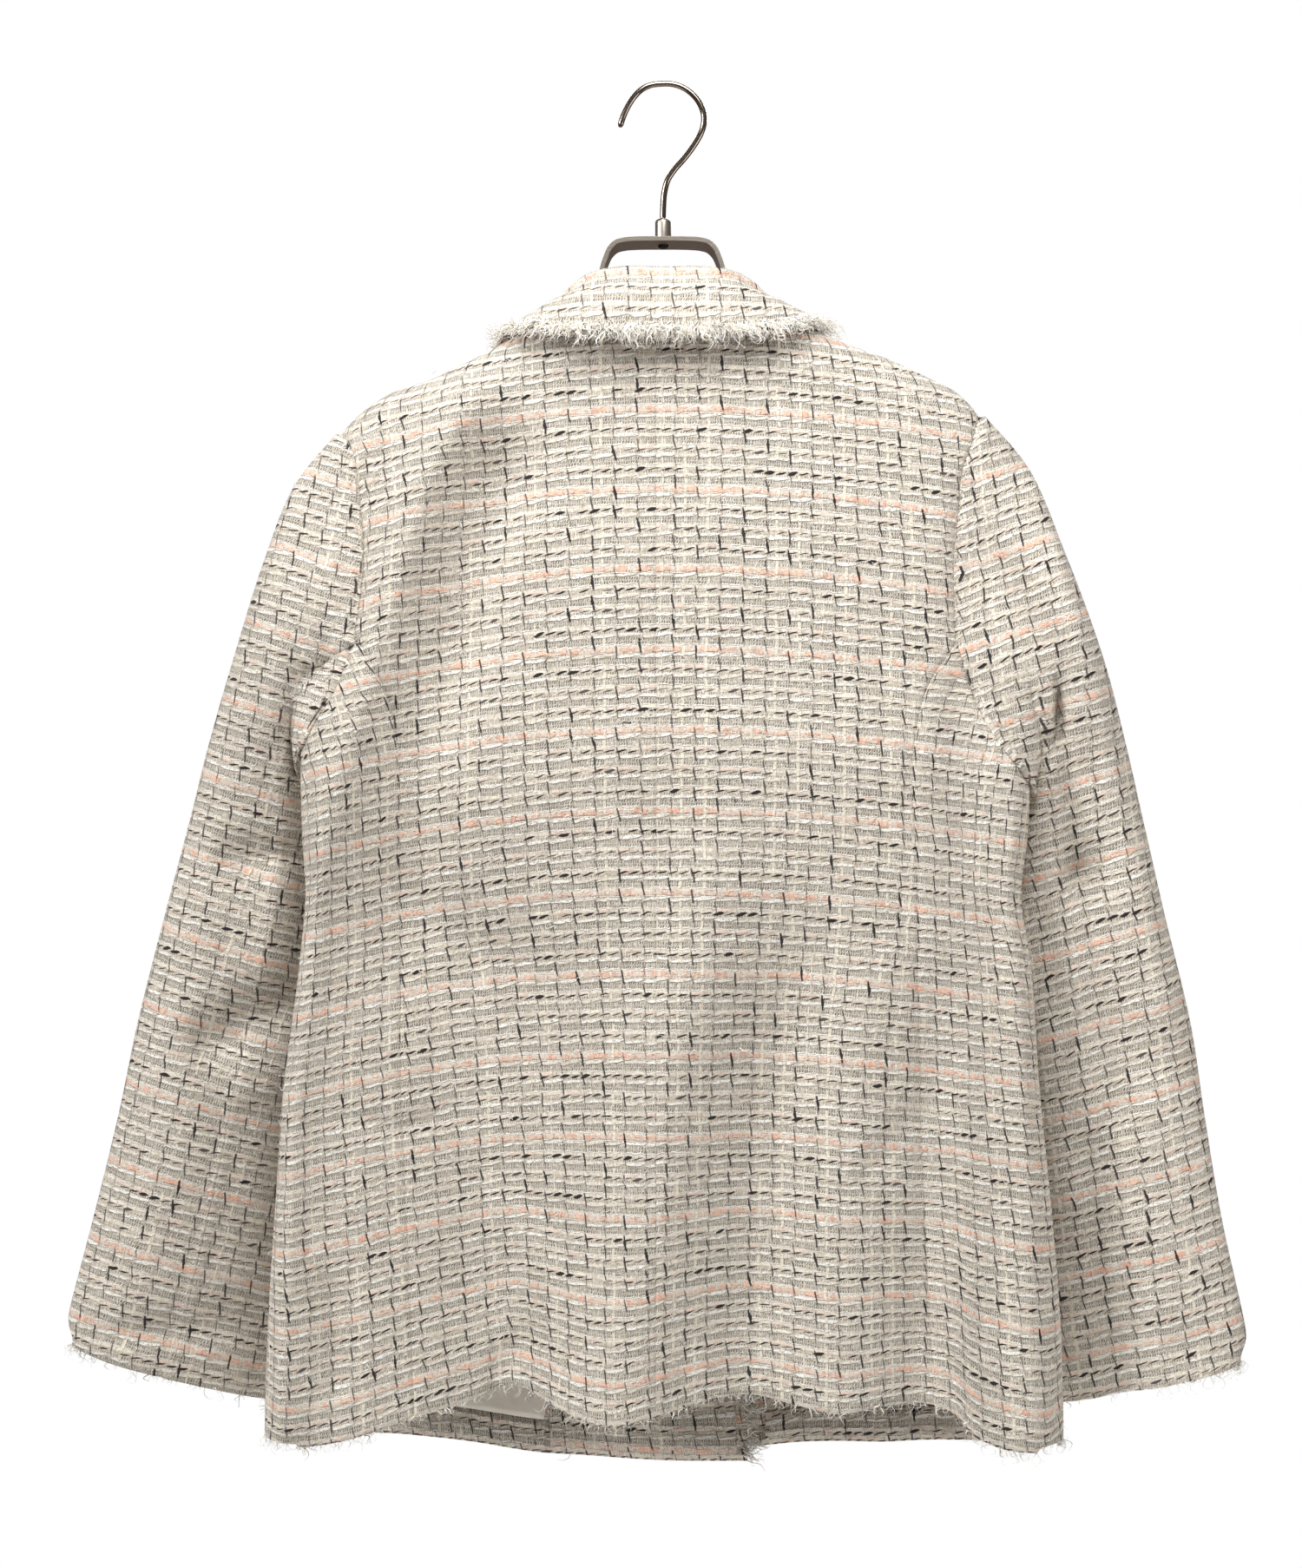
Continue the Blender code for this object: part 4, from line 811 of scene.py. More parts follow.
Station = namedtuple("Station", "outerX outerZ innerX innerZ middleY halfDepth")
SleeveFold = namedtuple("SleeveFold", "start stop width height")
sleeveShape = {
    "stations": {
        -1: (
            Station(-184, -200, -203, -381, -14, 20),
            Station(-210, -232, -209, -393, -5, 30),
            Station(-227, -275, -207, -406, 6, 35),
            Station(-245, -330, -198, -418, 17, 36),
            Station(-260, -378, -184, -438, 25, 35),
            Station(-272, -424, -177, -468, 29, 33),
            Station(-286, -478, -176, -516, 29, 31),
            Station(-301, -538, -187, -574, 28, 29),
            Station(-312, -592, -199, -630, 26, 27),
            Station(-325, -647, -211, -687, 24, 25),
            Station(-338, -698, -222, -737, 22, 22),
            Station(-344, -724, -227, -763, 21, 20),
        ),
        1: (
            Station(182, -189, 205, -399, -14, 20),
            Station(209, -222, 212, -410, -5, 30),
            Station(228, -272, 210, -421, 6, 35),
            Station(249, -330, 201, -432, 17, 36),
            Station(263, -378, 188, -448, 25, 35),
            Station(274, -424, 180, -473, 29, 33),
            Station(286, -478, 180, -516, 29, 31),
            Station(300, -538, 190, -573, 28, 29),
            Station(308, -592, 199, -628, 26, 27),
            Station(317, -648, 208, -684, 24, 25),
            Station(329, -704, 219, -738, 22, 22),
            Station(334, -731, 224, -764, 21, 20),
        ),
    },
    "folds": {  # a dent or swelling: from one place to another, its half-width and its height
        -1: (
            SleeveFold((0.6, 118), (4.2, 116), 17, -9),
            SleeveFold((4.6, 122), (5.2, 62), 12, -6),
            SleeveFold((6.0, 132), (7.0, 70), 12, -9),
            SleeveFold((5.2, 96), (6.2, 92), 12, 4),
            SleeveFold((6.9, 132), (7.4, 96), 9, 3),
            SleeveFold((8.2, 64), (10.6, 60), 18, 3),
            SleeveFold((9.6, 130), (10.2, 62), 13, -5),
            SleeveFold((3.4, 46), (7.6, 52), 20, 3),
        ),
        1: (
            SleeveFold((0.3, 70), (2.6, 84), 15, -9),
            SleeveFold((2.6, 84), (5.2, 76), 16, -11),
            SleeveFold((5.2, 76), (7.6, 78), 13, -7),
            SleeveFold((1.4, 112), (3.6, 124), 10, -4),
            SleeveFold((2.0, 38), (6.6, 40), 18, 5),
            SleeveFold((5.4, 122), (8.4, 116), 14, 6),
            SleeveFold((8.0, 96), (10.9, 104), 12, -5),
            SleeveFold((7.6, 58), (9.6, 66), 15, 3),
        ),
    },
    "foldScale": (50.0, 0.95),  # millimetres in a station and in a degree
    "turnOut": {-1: 0.34, 1: 0.48},  # how much further back the outer edge hangs, per millimetre of half-width
    "turnShift": {-1: 0.0, 1: 0.4},
    "turnFrom": 0.6,
    "turnTo": 3.5,
    "holeGap": 0.1,
    "underarmLift": 2.6,
    "underarmReach": 26.0,
    "seamBack": (134, 92),
    "seamFront": (235, 222),
    "underarmAngle": 165,
    "cornerFrom": 0.9,
    "cornerIn": 6.5,
    "cornerUp": 2.5,
    "pullStations": 2.4,
    "twistStations": 3,
}


def holeLine(back, sidePiece, front):  # the armhole's edge: down the back, along the underarm, up the front
    join = clothGrid["lowRows"]
    points = [back[0][i, -1] for i in range(back[0].shape[0] - 1, join, -1)]
    normals = [back[1][i, -1] for i in range(back[0].shape[0] - 1, join, -1)]
    points += list(sidePiece[0][-1])
    normals += list(sidePiece[1][-1])
    points += [front[0][i, -1] for i in range(join + 1, front[0].shape[0] - 1)]
    normals += [front[1][i, -1] for i in range(join + 1, front[0].shape[0] - 1)]
    return np.array(points), np.array(normals)


def sleeveModel(side, s, angles):
    table = sleeveShape["stations"][side]

    def read(name):
        return through(range(len(table)), [getattr(row, name) for row in table], s)

    turn = np.radians(angles)
    zero = 0 * s
    outer = np.stack([read("outerX"), zero, read("outerZ")], axis=-1)
    inner = np.stack([read("innerX"), zero, read("innerZ")], axis=-1)
    middle, half = (outer + inner) / 2, (outer - inner) / 2
    depth = np.array(read("halfDepth"))
    for fold in sleeveShape["folds"][side]:
        begin = np.array(fold.start) * sleeveShape["foldScale"]
        run = np.array(fold.stop) * sleeveShape["foldScale"] - begin
        down = s * sleeveShape["foldScale"][0] - begin[0]
        around = angles * sleeveShape["foldScale"][1] - begin[1]
        along = np.clip((down * run[0] + around * run[1]) / (run @ run), 0, 1)
        gap = (down - along * run[0]) ** 2 + (around - along * run[1]) ** 2
        depth = depth + fold.height * np.exp(-gap / fold.width**2)
    points = middle + half * np.cos(turn)[..., None]
    lean = sleeveShape["turnOut"][side] * smoothStep(sleeveShape["turnFrom"], sleeveShape["turnTo"], s)
    swing = lean * np.linalg.norm(half, axis=-1) * (np.cos(turn) + sleeveShape["turnShift"][side])
    points[..., 1] = read("middleY") - depth * np.sin(turn) - swing
    last = len(table) - 1
    corner = smoothStep(last - sleeveShape["cornerFrom"], last, s) ** 1.5 * np.clip(np.cos(turn), 0, 1) ** 3
    points = points - (sleeveShape["cornerIn"] * corner)[..., None] * unit(half)
    points[..., 2] += sleeveShape["cornerUp"] * corner
    return points


def wholeSleeve(side, hole, holeNormals):
    shape = sleeveShape
    away = unit(-side * np.cross(np.roll(hole, -1, axis=0) - np.roll(hole, 1, axis=0), holeNormals))
    above = hole[:, 2] - hole[:, 2].min()
    lift = shape["underarmLift"] * np.exp(-((above / shape["underarmReach"]) ** 2))
    start = hole + shape["holeGap"] * away + holeNormals * lift[:, None]
    steps = np.linalg.norm(np.diff(np.vstack([hole, hole[:1]]), axis=0), axis=1)
    along = np.concatenate([[0], np.cumsum(steps)[:-1]])
    lowest = int(np.argmin(hole[:, 2]))
    first = np.where(
        np.arange(len(hole)) <= lowest,
        180 * along / along[lowest],
        180 + 180 * (along - along[lowest]) / (steps.sum() - along[lowest]),
    )
    seamBack = int(np.argmin(abs(first - shape["seamBack"][0])))
    seamFront = int(np.argmin(abs(first - shape["seamFront"][0])))
    last = np.interp(
        first,
        [0, first[seamBack], 180, first[seamFront], 360],
        [0, shape["seamBack"][1], shape["underarmAngle"], shape["seamFront"][1], 360],
    )
    stations = np.linspace(0, len(shape["stations"][side]) - 1, clothGrid["sleeveRows"] + 1)
    s = stations[:, None] + 0 * first[None, :]
    angles = mix(first[None, :], last[None, :], smoothStep(0, shape["twistStations"], s))
    points = sleeveModel(side, s, angles)
    pull = np.clip(1 - s / shape["pullStations"], 0, 1) ** 2
    points = points + pull[..., None] * (start - points[0])[None, :, :]
    around = np.roll(points, -1, axis=1) - np.roll(points, 1, axis=1)
    normals = unit(side * np.cross(np.gradient(points, axis=0), around))
    normals[0] = holeNormals
    return points, normals, seamBack, seamFront, angles > 180


# collar: leaves from the middle of the back (0) over the shoulder (1) to the front (2)

Leaf = namedtuple("Leaf", "key foldX foldY foldZ edgeX edgeY edgeZ leftDrop")
collarShape = {
    "leaves": (
        Leaf(0.0, 0, -27, -108, 0, -44, -148, 0),
        Leaf(0.35, 26, -26, -108, 32, -44, -147, 0),
        Leaf(0.6, 42, -20, -110, 60, -39, -145, 1),
        Leaf(0.85, 55, -8, -117, 82, -25, -139, 3),
        Leaf(1.0, 62, 3, -124, 92, -4, -136, 5),
        Leaf(1.15, 62, 10, -130, 93, 14, -139, 5),
        Leaf(1.35, 59, 18, -142, 88, 29, -156, 5),
        Leaf(1.65, 40, 27, -167, 64, 34, -190, 2),
        Leaf(2.0, 8, 31, -186, 14, 38, -224, 0),
    ),
    "turn": 3.4,
    "swellOut": 3.0,
    "swellUp": 1.5,
    "bandBelowFold": 6.0,
    "tipReach": 0.2,  # how far from the shoulder's tip the seam leans
    "tipLean": (0.75, 0.66),
    "warpStart": 6.5,
}


def wholeCollar(panels):
    shape = collarShape
    count = clothGrid["neckColumns"]
    stops = [(-1, True, j) for j in range(1, count + 1)]
    stops += [(-1, False, j) for j in range(count - 1, -1, -1)]
    stops += [(1, False, j) for j in range(1, count + 1)]
    stops += [(1, True, j) for j in range(count - 1, 0, -1)]
    keys, seams, seamNormals, seamUps, sides = [], [], [], [], []
    for side, front, j in stops:
        points, normals = panels[side, front]
        keys.append(2 - j / count if front else j / count)
        seams.append(points[-1, j])
        seamNormals.append(normals[-1, j])
        seamUps.append(unit(points[-1, j] - points[-3, j]))
        sides.append(side)
    keys, sides, seams = np.array(keys), np.array(sides), np.array(seams)
    seamNormals, seamUps = np.array(seamNormals), np.array(seamUps)
    nearTip = np.clip(1 - abs(keys - 1) / shape["tipReach"], 0, 1)[:, None] ** 0.5
    aside, upright = shape["tipLean"]
    neckward = np.stack([aside * sides, 0 * sides, upright + 0 * sides], axis=-1)
    seamNormals = unit(mix(seamNormals, neckward, nearTip))

    def leaf(name):
        return column(shape["leaves"], "key", name, keys)

    drop = np.where(sides < 0, leaf("leftDrop"), 0)
    fold = np.stack([sides * leaf("foldX"), leaf("foldY"), leaf("foldZ") - drop], axis=-1)
    edge = np.stack([sides * leaf("edgeX"), leaf("edgeY"), leaf("edgeZ") - drop], axis=-1)
    out = edge - fold
    out[:, 2] = 0
    out = unit(out)
    base = seams - bodyShape["cloth"] * seamNormals + 0.2 * seamUps
    base[:, 2] += bodyShape["cloth"] * nearTip[:, 0]
    up = np.array([0, 0, 1.0])

    def besideFold(across, below):
        return fold + shape["turn"] * (across * out - below * up)

    inside, outside = besideFold(-1, 1.3), besideFold(1, 1.3)
    swell = shape["swellOut"] * out + shape["swellUp"] * up
    rows = np.array([
        base,
        mix(base, inside, 0.5),
        inside,
        besideFold(-0.74, 0.35),
        fold,
        besideFold(0.74, 0.35),
        outside,
        mix(outside, edge, 0.35) + swell,
        mix(outside, edge, 0.7) + 0.8 * swell,
        edge,
    ])
    reach = np.concatenate([[0], np.cumsum(np.linalg.norm(np.diff(rows, axis=0), axis=-1).mean(axis=1))])
    spots = np.linspace(0, reach[-1], clothGrid["collarRows"])
    fine = np.empty((len(spots),) + rows.shape[1:])
    for j in range(rows.shape[1]):
        for axis in range(3):
            fine[:, j, axis] = through(reach, rows[:, j, axis], spots)
    normals = unit(np.cross(np.gradient(fine, axis=0), np.gradient(fine, axis=1)))
    if normals[len(spots) // 3, len(keys) // 2, 2] < 0:
        normals = -normals
    return fine, normals, spots


# sheets of cloth from a grid of points


def newObject(name, data):
    made = bpy.data.objects.new(name, data)
    bpy.context.scene.collection.objects.link(made)
    return made


def sheetFaces(outer, normals, thickness, sunk):  # a wall with a rounded rim
    rows, columns = outer.shape[:2]
    top = (outer - normals * sunk).reshape(-1, 3)
    below = (outer - normals * (sunk + thickness)).reshape(-1, 3)
    under = rows * columns
    index = np.arange(under).reshape(rows, columns)
    a, b, c, d = index[:-1, :-1].ravel(), index[:-1, 1:].ravel(), index[1:, 1:].ravel(), index[1:, :-1].ravel()
    topFaces = np.stack([a, b, c, d], axis=1)
    underFaces = np.stack([a, d, c, b], axis=1) + under
    rim = np.concatenate([index[0, :], index[1:, -1], index[-1, -2::-1], index[-2:0:-1, 0]])
    inward = np.concatenate([index[1, :], index[1:, -2], index[-2, -2::-1], index[-2:0:-1, 1]])
    bulge = top[rim] - top[inward]
    bulge[columns - 1] = top[rim[columns - 1]] - top[index[1, -2]]
    bulge = rimBulge * thickness * bulge / np.maximum(np.linalg.norm(bulge, axis=1, keepdims=True), 1e-6)
    middle = (top[rim] + below[rim]) / 2 + bulge
    ring = 2 * under + np.arange(len(rim))
    nextRim, nextRing = np.roll(rim, -1), np.roll(ring, -1)
    rimFaces = np.concatenate([
        np.stack([nextRim, rim, ring, nextRing], axis=1),
        np.stack([nextRing, ring, rim + under, nextRim + under], axis=1),
    ])
    vertices = np.concatenate([top, below, middle]) * mm
    return vertices, np.concatenate([topFaces, underFaces, rimFaces]), rim


def sheetMesh(name, outer, normals, uv, thickness, sunk, uvFront, faceFront):
    vertices, faces, rim = sheetFaces(outer, normals, thickness, sunk)
    corners = vertices[faces]
    volume = np.einsum("ij,ij->i", corners[:, 0], np.cross(corners[:, 1], corners[:, 2])).sum()
    volume += np.einsum("ij,ij->i", corners[:, 0], np.cross(corners[:, 2], corners[:, 3])).sum()
    flat = uv.reshape(-1, 2)
    spots = np.concatenate([flat, flat, flat[rim]])
    loops = spots[faces]
    if uvFront is not None:
        other = uvFront.reshape(-1, 2)
        other = np.concatenate([other, other, other[rim]])
        picked = np.concatenate([faceFront.ravel(), faceFront.ravel(), np.zeros(2 * len(rim), bool)])
        loops[picked] = other[faces[picked]]
    if volume < 0:
        faces, loops = faces[:, ::-1], loops[:, ::-1]
    mesh = bpy.data.meshes.new(name)
    mesh.vertices.add(len(vertices))
    mesh.vertices.foreach_set("co", vertices.astype(np.float32).ravel())
    mesh.loops.add(faces.size)
    mesh.loops.foreach_set("vertex_index", faces.astype(np.int32).ravel())
    mesh.polygons.add(len(faces))
    mesh.polygons.foreach_set("loop_start", np.arange(0, faces.size, 4, dtype=np.int32))
    mesh.update(calc_edges=True)
    layer = mesh.uv_layers.new(name="cloth")
    layer.data.foreach_set("uv", (loops * mm).astype(np.float32).ravel())
    mesh.shade_smooth()
    return mesh


def clothPiece(
    name, nodes, outer, normals, uv, look, thickness=bodyShape["cloth"], sunk=0.0, uvFront=None, faceFront=None
):
    if sunk == 0.0:
        outsides.append((outer, normals))
    made = newObject(name, sheetMesh(name, outer, normals, uv, thickness, sunk, uvFront, faceFront))
    made.data.materials.append(look)
    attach(made, "root")
    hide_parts(*nodes)
    "satin_lining" if look == satin else "tweed"
    width = np.linalg.norm(np.diff(outer, axis=1), axis=-1).sum(axis=1).max() * mm
    length = np.linalg.norm(np.diff(outer, axis=0), axis=-1).sum(axis=0).max() * mm
    first, second = outer[1:, 1:] - outer[:-1, :-1], outer[1:, :-1] - outer[:-1, 1:]
    area = np.linalg.norm(np.cross(first, second), axis=-1).sum() / 2 * mm * mm
    area = min(area, 0.999 * width * length)


outsides = []  # outer faces and normals, for the loose fibres
rimBulge = 0.32  # how far a cut edge is rounded, in thicknesses


def arcAlong(points):  # the length along each row
    return lengthsAlong(points.swapaxes(0, 1)).T


grain = {
    "sag": {-1: 27.0, 1: 20.0},  # the wefts hang this much lower at the sides than in the middle
    "hemFrom": -600.0,  # below this the wefts turn to follow the hem
    "hemReach": 175.0,
    "hemMean": -757.0,
    "bandZ": -189.6,  # a peach band crosses the middle of the back here
    "seamGap": (-3.7, 1.75),  # high and low: from the centre back seam to the first black warp, less half a pitch
    "seamGapFrom": -250,
    "seamGapReach": 450,
    "sleeveTilt": {-1: 19.0, 1: 17.5},  # degrees from level that the sleeve's wefts rise
    "warpLean": {-1: 15.0, 1: 7.0},  # degrees from upright that its warps lean
    "sleeveStart": {-1: -5.5, 1: 0.7},
    "frontStart": 4.0,
    "sideStart": 151.0,
}


def weftPlace(x, z, hem):
    half, centre = halfAndCentre(z)
    across = np.clip((x - centre) / half, -1, 1)
    sag = np.where(across < 0, grain["sag"][-1], grain["sag"][1]) * across**2
    near = np.clip((grain["hemFrom"] - z) / grain["hemReach"], 0, 1)
    return grain["bandZ"] - z - sag * (1 - near) + (column(hem, "x", "z", x) - grain["hemMean"]) * near


def bodyUv(side, front, points):
    arc = arcAlong(points)
    x, z = points[..., 0], points[..., 2]
    down = np.clip((grain["seamGapFrom"] - z) / grain["seamGapReach"], -0.3, 1.2)
    start = grain["frontStart"] if front else mix(*grain["seamGap"], down)
    v = weftPlace(x, z, frontHem[side] if front else backHem)
    return np.stack([side * (arc + start + tweedYarns["warpPitch"] / 2), v], axis=-1)


seamShape = {"dip": 0.9, "centreDip": 0.35, "reach": 2.6}


def seamDip(points, normals, *edges, dip=seamShape["dip"]):  # the cloth sinks along the edges that are sewn
    flipped = points.swapaxes(0, 1)
    gaps = {
        "firstColumn": lengthsAlong(flipped).T,
        "lastColumn": lengthsAlong(flipped[::-1])[::-1].T,
        "firstRow": lengthsAlong(points),
    }
    depth = np.max([np.exp(-((gaps[edge] / seamShape["reach"]) ** 2)) for edge in edges], axis=0)
    return points - normals * (dip * depth)[..., None]


panels = {}
sideNames = {-1: "Left", 1: "Right"}
for side, word in sideNames.items():
    for front in (False, True):
        panels[side, front] = bodyPanel(side, front)
    edgeRows = clothGrid["lowRows"] + 1
    backEdge, frontSeam = (panels[side, front][0][:edgeRows, -1] for front in (False, True))
    panels[side, "side"] = sidePanel(side, backEdge, frontSeam)
    points, normals = panels[side, False]
    dipped = seamDip(points, normals, "firstColumn", dip=seamShape["centreDip"])
    dipped = seamDip(dipped, normals, "lastColumn")
    clothPiece(f"back{word}", [f"back_{word.lower()}"], dipped, normals, bodyUv(side, False, points), tweed)
    points, normals = panels[side, True]
    dipped = seamDip(points, normals, "lastColumn")
    clothPiece(f"front{word}", [f"front_{word.lower()}"], dipped, normals, bodyUv(side, True, points), tweed)
    points, normals = panels[side, "side"]
    uv = bodyUv(side, False, points)
    uv[..., 0] += side * grain["sideStart"]
    dipped = seamDip(points, normals, "firstColumn", "lastColumn")
    clothPiece(f"side{word}", [f"side_{word.lower()}"], dipped, normals, uv, tweed)
print("body panels made")


def ellipseArc(t, flatness=0.5, steps=400):  # how far round an ellipse of half-width 1 lies
    grid = np.sin(np.linspace(-math.pi / 2, math.pi / 2, steps))
    arc = np.concatenate([[0], np.cumsum(np.hypot(np.diff(grid), np.diff(flatness * np.sqrt(1 - grid**2))))])
    arc = arc - np.interp(0, grid, arc)
    return np.interp(t, grid, arc), arc[-1]


def sleeveUv(side, points):  # the cloth lies flat to the back, and is carried round the sleeve's edges
    tilt = math.radians(grain["sleeveTilt"][side])
    axis = np.array([side * math.sin(tilt), 0, -math.cos(tilt)])
    lean = math.radians(grain["warpLean"][side])
    outward = np.array([side * math.cos(lean), 0, math.sin(lean)])
    leftmost, rightmost = points.argmin(axis=1)[:, 0], points.argmax(axis=1)[:, 0]
    rows = np.arange(len(points))
    ends = np.stack([points[rows, leftmost], points[rows, rightmost]], axis=1)
    middle = ends.mean(axis=1)
    across = (ends[:, 1] - ends[:, 0]) * (1, 0, 1)
    half = np.linalg.norm(across, axis=1) / 2
    t = side * np.einsum("ijk,ik->ij", points - middle[:, None], across / (2 * half[:, None] ** 2))
    t = np.clip(t, -1, 1)
    arc, quarter = ellipseArc(t)
    reach = (side * (across @ outward) / 2)[:, None]
    start = (middle @ outward)[:, None]
    aside = points @ outward - start + (arc - t) * reach
    return start, aside, quarter * reach, points @ axis + grain["sleeveStart"][side]


sleeves = []
for side, word in sideNames.items():
    hole, holeNormals = holeLine(panels[side, False], panels[side, "side"], panels[side, True])
    points, normals, seamBack, seamFront, isFront = wholeSleeve(side, hole, holeNormals)
    sleeves.append((points, normals))
    count = points.shape[1]  # of columns round the sleeve
    under = list(range(seamBack, seamFront + 1))
    upper = [(seamFront + i) % count for i in range(count - (seamFront - seamBack) + 1)]
    start, arc, quarter, v = sleeveUv(side, points)
    for kind, columns in (("Upper", upper), ("Under", under)):
        sheet, sheetNormals = points[:, columns], normals[:, columns]
        turn = 1 if kind == "Upper" else -1
        uvBack = np.stack([side * (start + arc)[:, columns], v[:, columns]], axis=-1)
        uvFront = np.stack([side * (start + 2 * turn * quarter - arc)[:, columns], v[:, columns]], axis=-1)
        mask = isFront[:, columns]
        faceFront = mask[:-1, :-1] & mask[1:, 1:] & mask[:-1, 1:] & mask[1:, :-1]  # all four corners
        sheet = seamDip(sheet, sheetNormals, "firstColumn", "lastColumn", "firstRow")
        clothPiece(
            f"sleeve{kind}{word}", [f"sleeve_{kind.lower()}_{word.lower()}"],
            sheet, sheetNormals, uvBack, tweed, uvFront=uvFront, faceFront=faceFront,
        )
print("sleeves made")

collarPoints, collarNormals, collarSpots = wholeCollar(panels)
collarArc = arcAlong(collarPoints)
middle = collarPoints.shape[1] // 2
u = collarArc - collarArc[:, middle : middle + 1]
foldSpot = collarSpots[int(np.argmax(collarPoints[:, middle, 2]))]
v = np.repeat(collarSpots[:, None], u.shape[1], axis=1) - foldSpot - collarShape["bandBelowFold"]
collarUv = np.stack([u + collarShape["warpStart"], v], axis=-1)
clothPiece("collarCloth", ["collar"], collarPoints, collarNormals, collarUv, tweed)
print("collar made")

# what faces the inside of the fronts: rows and columns of a front's own points, sunk below them

Inside = namedtuple("Inside", "name node side rows columns look weaveShift")
facingShape = {
    "thickness": 1.2,
    "sunk": 2.2,
    "facingRows": 145,
    "facingColumns": 30,
    "rightFrom": 27,  # the column where the right front's turn-up starts
    "turnUp": 18.0,
    "satinRows": 20,
}


def hemRow(points, height):  # the row whose mean height above the hem is nearest
    above = (points[..., 2] - points[0, :, 2]).mean(axis=1)
    return int(np.argmin(abs(above - height)))


def insideSheets():
    turned = hemRow(panels[-1, True][0], facingShape["turnUp"])
    beside = slice(facingShape["facingColumns"], -1)
    rightColumns = slice(facingShape["rightFrom"], -1)
    turnedRows, satinRows = slice(1, turned + 1), slice(turned, turned + facingShape["satinRows"])
    facing = slice(1, facingShape["facingRows"]), slice(1, facingShape["facingColumns"])
    return (
        Inside("frontFacingLeft", "front_facing_left", -1, *facing, tweed, 210.0),
        Inside("hemFacingLeft", "hem_facing_left", -1, turnedRows, beside, tweed, 330.0),
        Inside("hemFacingRight", "hem_facing_right", 1, turnedRows, rightColumns, tweed, 470.0),
        Inside("liningLeft", "lining_left", -1, satinRows, beside, satin, 0.0),
    )


for sheet in insideSheets():
    points, normals = panels[sheet.side, True]
    spots = sheet.rows, sheet.columns
    uv = bodyUv(sheet.side, True, points)[spots] + sheet.weaveShift
    clothPiece(
        sheet.name, [sheet.node], points[spots], normals[spots], uv, sheet.look,
        thickness=facingShape["thickness"], sunk=facingShape["sunk"],
    )
print("facings and lining made")

# frayed edges: loose yarn ends grown along a line by geometry nodes

Strand = namedtuple("Strand", "length radius")  # millimetres at a reach of 1
strandShape = {"sides": 3, "rings": 7, "sway": 0.16, "waves": (5.5, 4.2), "taper": 0.75}


def strandMesh(name, seed, strand, curl):
    rng = np.random.default_rng(seed)
    sides, rings = strandShape["sides"], strandShape["rings"]
    length, radius = strand.length * mm, strand.radius * mm
    t = np.linspace(0, 1, rings)
    sway = curl * length * strandShape["sway"]
    x, z = (
        sway * (np.sin(t * wave + phase) - math.sin(phase)) * t
        for wave, phase in zip(strandShape["waves"], rng.uniform(0, 6.28, 2))
    )
    y = length * t
    ring = radius * (1 - strandShape["taper"] * t**1.5)
    angles = [2 * math.pi * k / sides for k in range(sides)]
    vertices = [
        (x[i] + ring[i] * math.cos(angle), y[i], z[i] + ring[i] * math.sin(angle))
        for i in range(rings) for angle in angles
    ]
    faces = []
    for i in range(rings - 1):
        for k in range(sides):
            a, b = i * sides + k, i * sides + (k + 1) % sides
            faces.append((a, a + sides, b + sides, b))
    faces.append(tuple(range(sides)))
    faces.append(tuple((rings - 1) * sides + k for k in range(sides - 1, -1, -1)))
    mesh = bpy.data.meshes.new(name)
    mesh.from_pydata(vertices, [], faces)
    mesh.shade_smooth()
    return mesh


def strandKit(name, strands, curl):
    kit = bpy.data.collections.new(name)
    for k, strand in enumerate(strands):
        mesh = strandMesh(f"{name}{k}", 11 + k, strand, curl)
        kit.objects.link(bpy.data.objects.new(mesh.name, mesh))
    return kit


def strandTree(name, kit, look, inputs):
    tree = bpy.data.node_groups.new(name, "GeometryNodeTree")
    tree.interface.new_socket("Geometry", in_out="INPUT", socket_type="NodeSocketGeometry")
    for label, value in inputs.items():
        kind = "NodeSocketInt" if isinstance(value, int) else "NodeSocketFloat"
        tree.interface.new_socket(label, in_out="INPUT", socket_type=kind).default_value = value
    tree.interface.new_socket("Geometry", in_out="OUTPUT", socket_type="NodeSocketGeometry")
    b = Board(tree)
    given = b.node("NodeGroupInput").outputs
    kitInfo = {"transform_space": "ORIGINAL"}
    strands = b.node("GeometryNodeCollectionInfo", kitInfo, Collection=kit, Separate_Children=True)
    heading = b.node("GeometryNodeInputNamedAttribute", {"data_type": "FLOAT_VECTOR"}, Name="heading")
    reach = b.node("GeometryNodeInputNamedAttribute", {"data_type": "FLOAT"}, Name="reach")
    last = len(kit.objects) - 1
    pick = b.node("FunctionNodeRandomValue", {"data_type": "INT"}, _4=0, _5=last, Seed=given["Seed"])
    spin = b.node(
        "FunctionNodeRandomValue", {"data_type": "FLOAT"}, _2=-math.pi, _3=math.pi, Seed=given["Seed"]
    )
    aimed = b.node("FunctionNodeAlignRotationToVector", {"axis": "Y"}, Vector=heading.outputs[0])
    about = b.node("FunctionNodeAxisAngleToRotation", Axis=(0.0, 1.0, 0.0), Angle=spin.outputs[1])
    turned = b.node(
        "FunctionNodeRotateRotation", {"rotation_space": "LOCAL"},
        Rotation=aimed.outputs[0], Rotate_By=about.outputs[0],
    )
    placed = b.node(
        "GeometryNodeInstanceOnPoints", Points=given["Geometry"], Instance=strands.outputs[0],
        Pick_Instance=True, Instance_Index=pick.outputs[2], Rotation=turned.outputs[0],
        Scale=b.number(reach.outputs[0]) * b.number(given["Size"]),
    )
    real = b.node("GeometryNodeRealizeInstances", Geometry=placed.outputs[0])
    dressed = b.node("GeometryNodeSetMaterial", Geometry=real.outputs[0], Material=look)
    b.node("NodeGroupOutput", Geometry=dressed.outputs[0])
    return tree


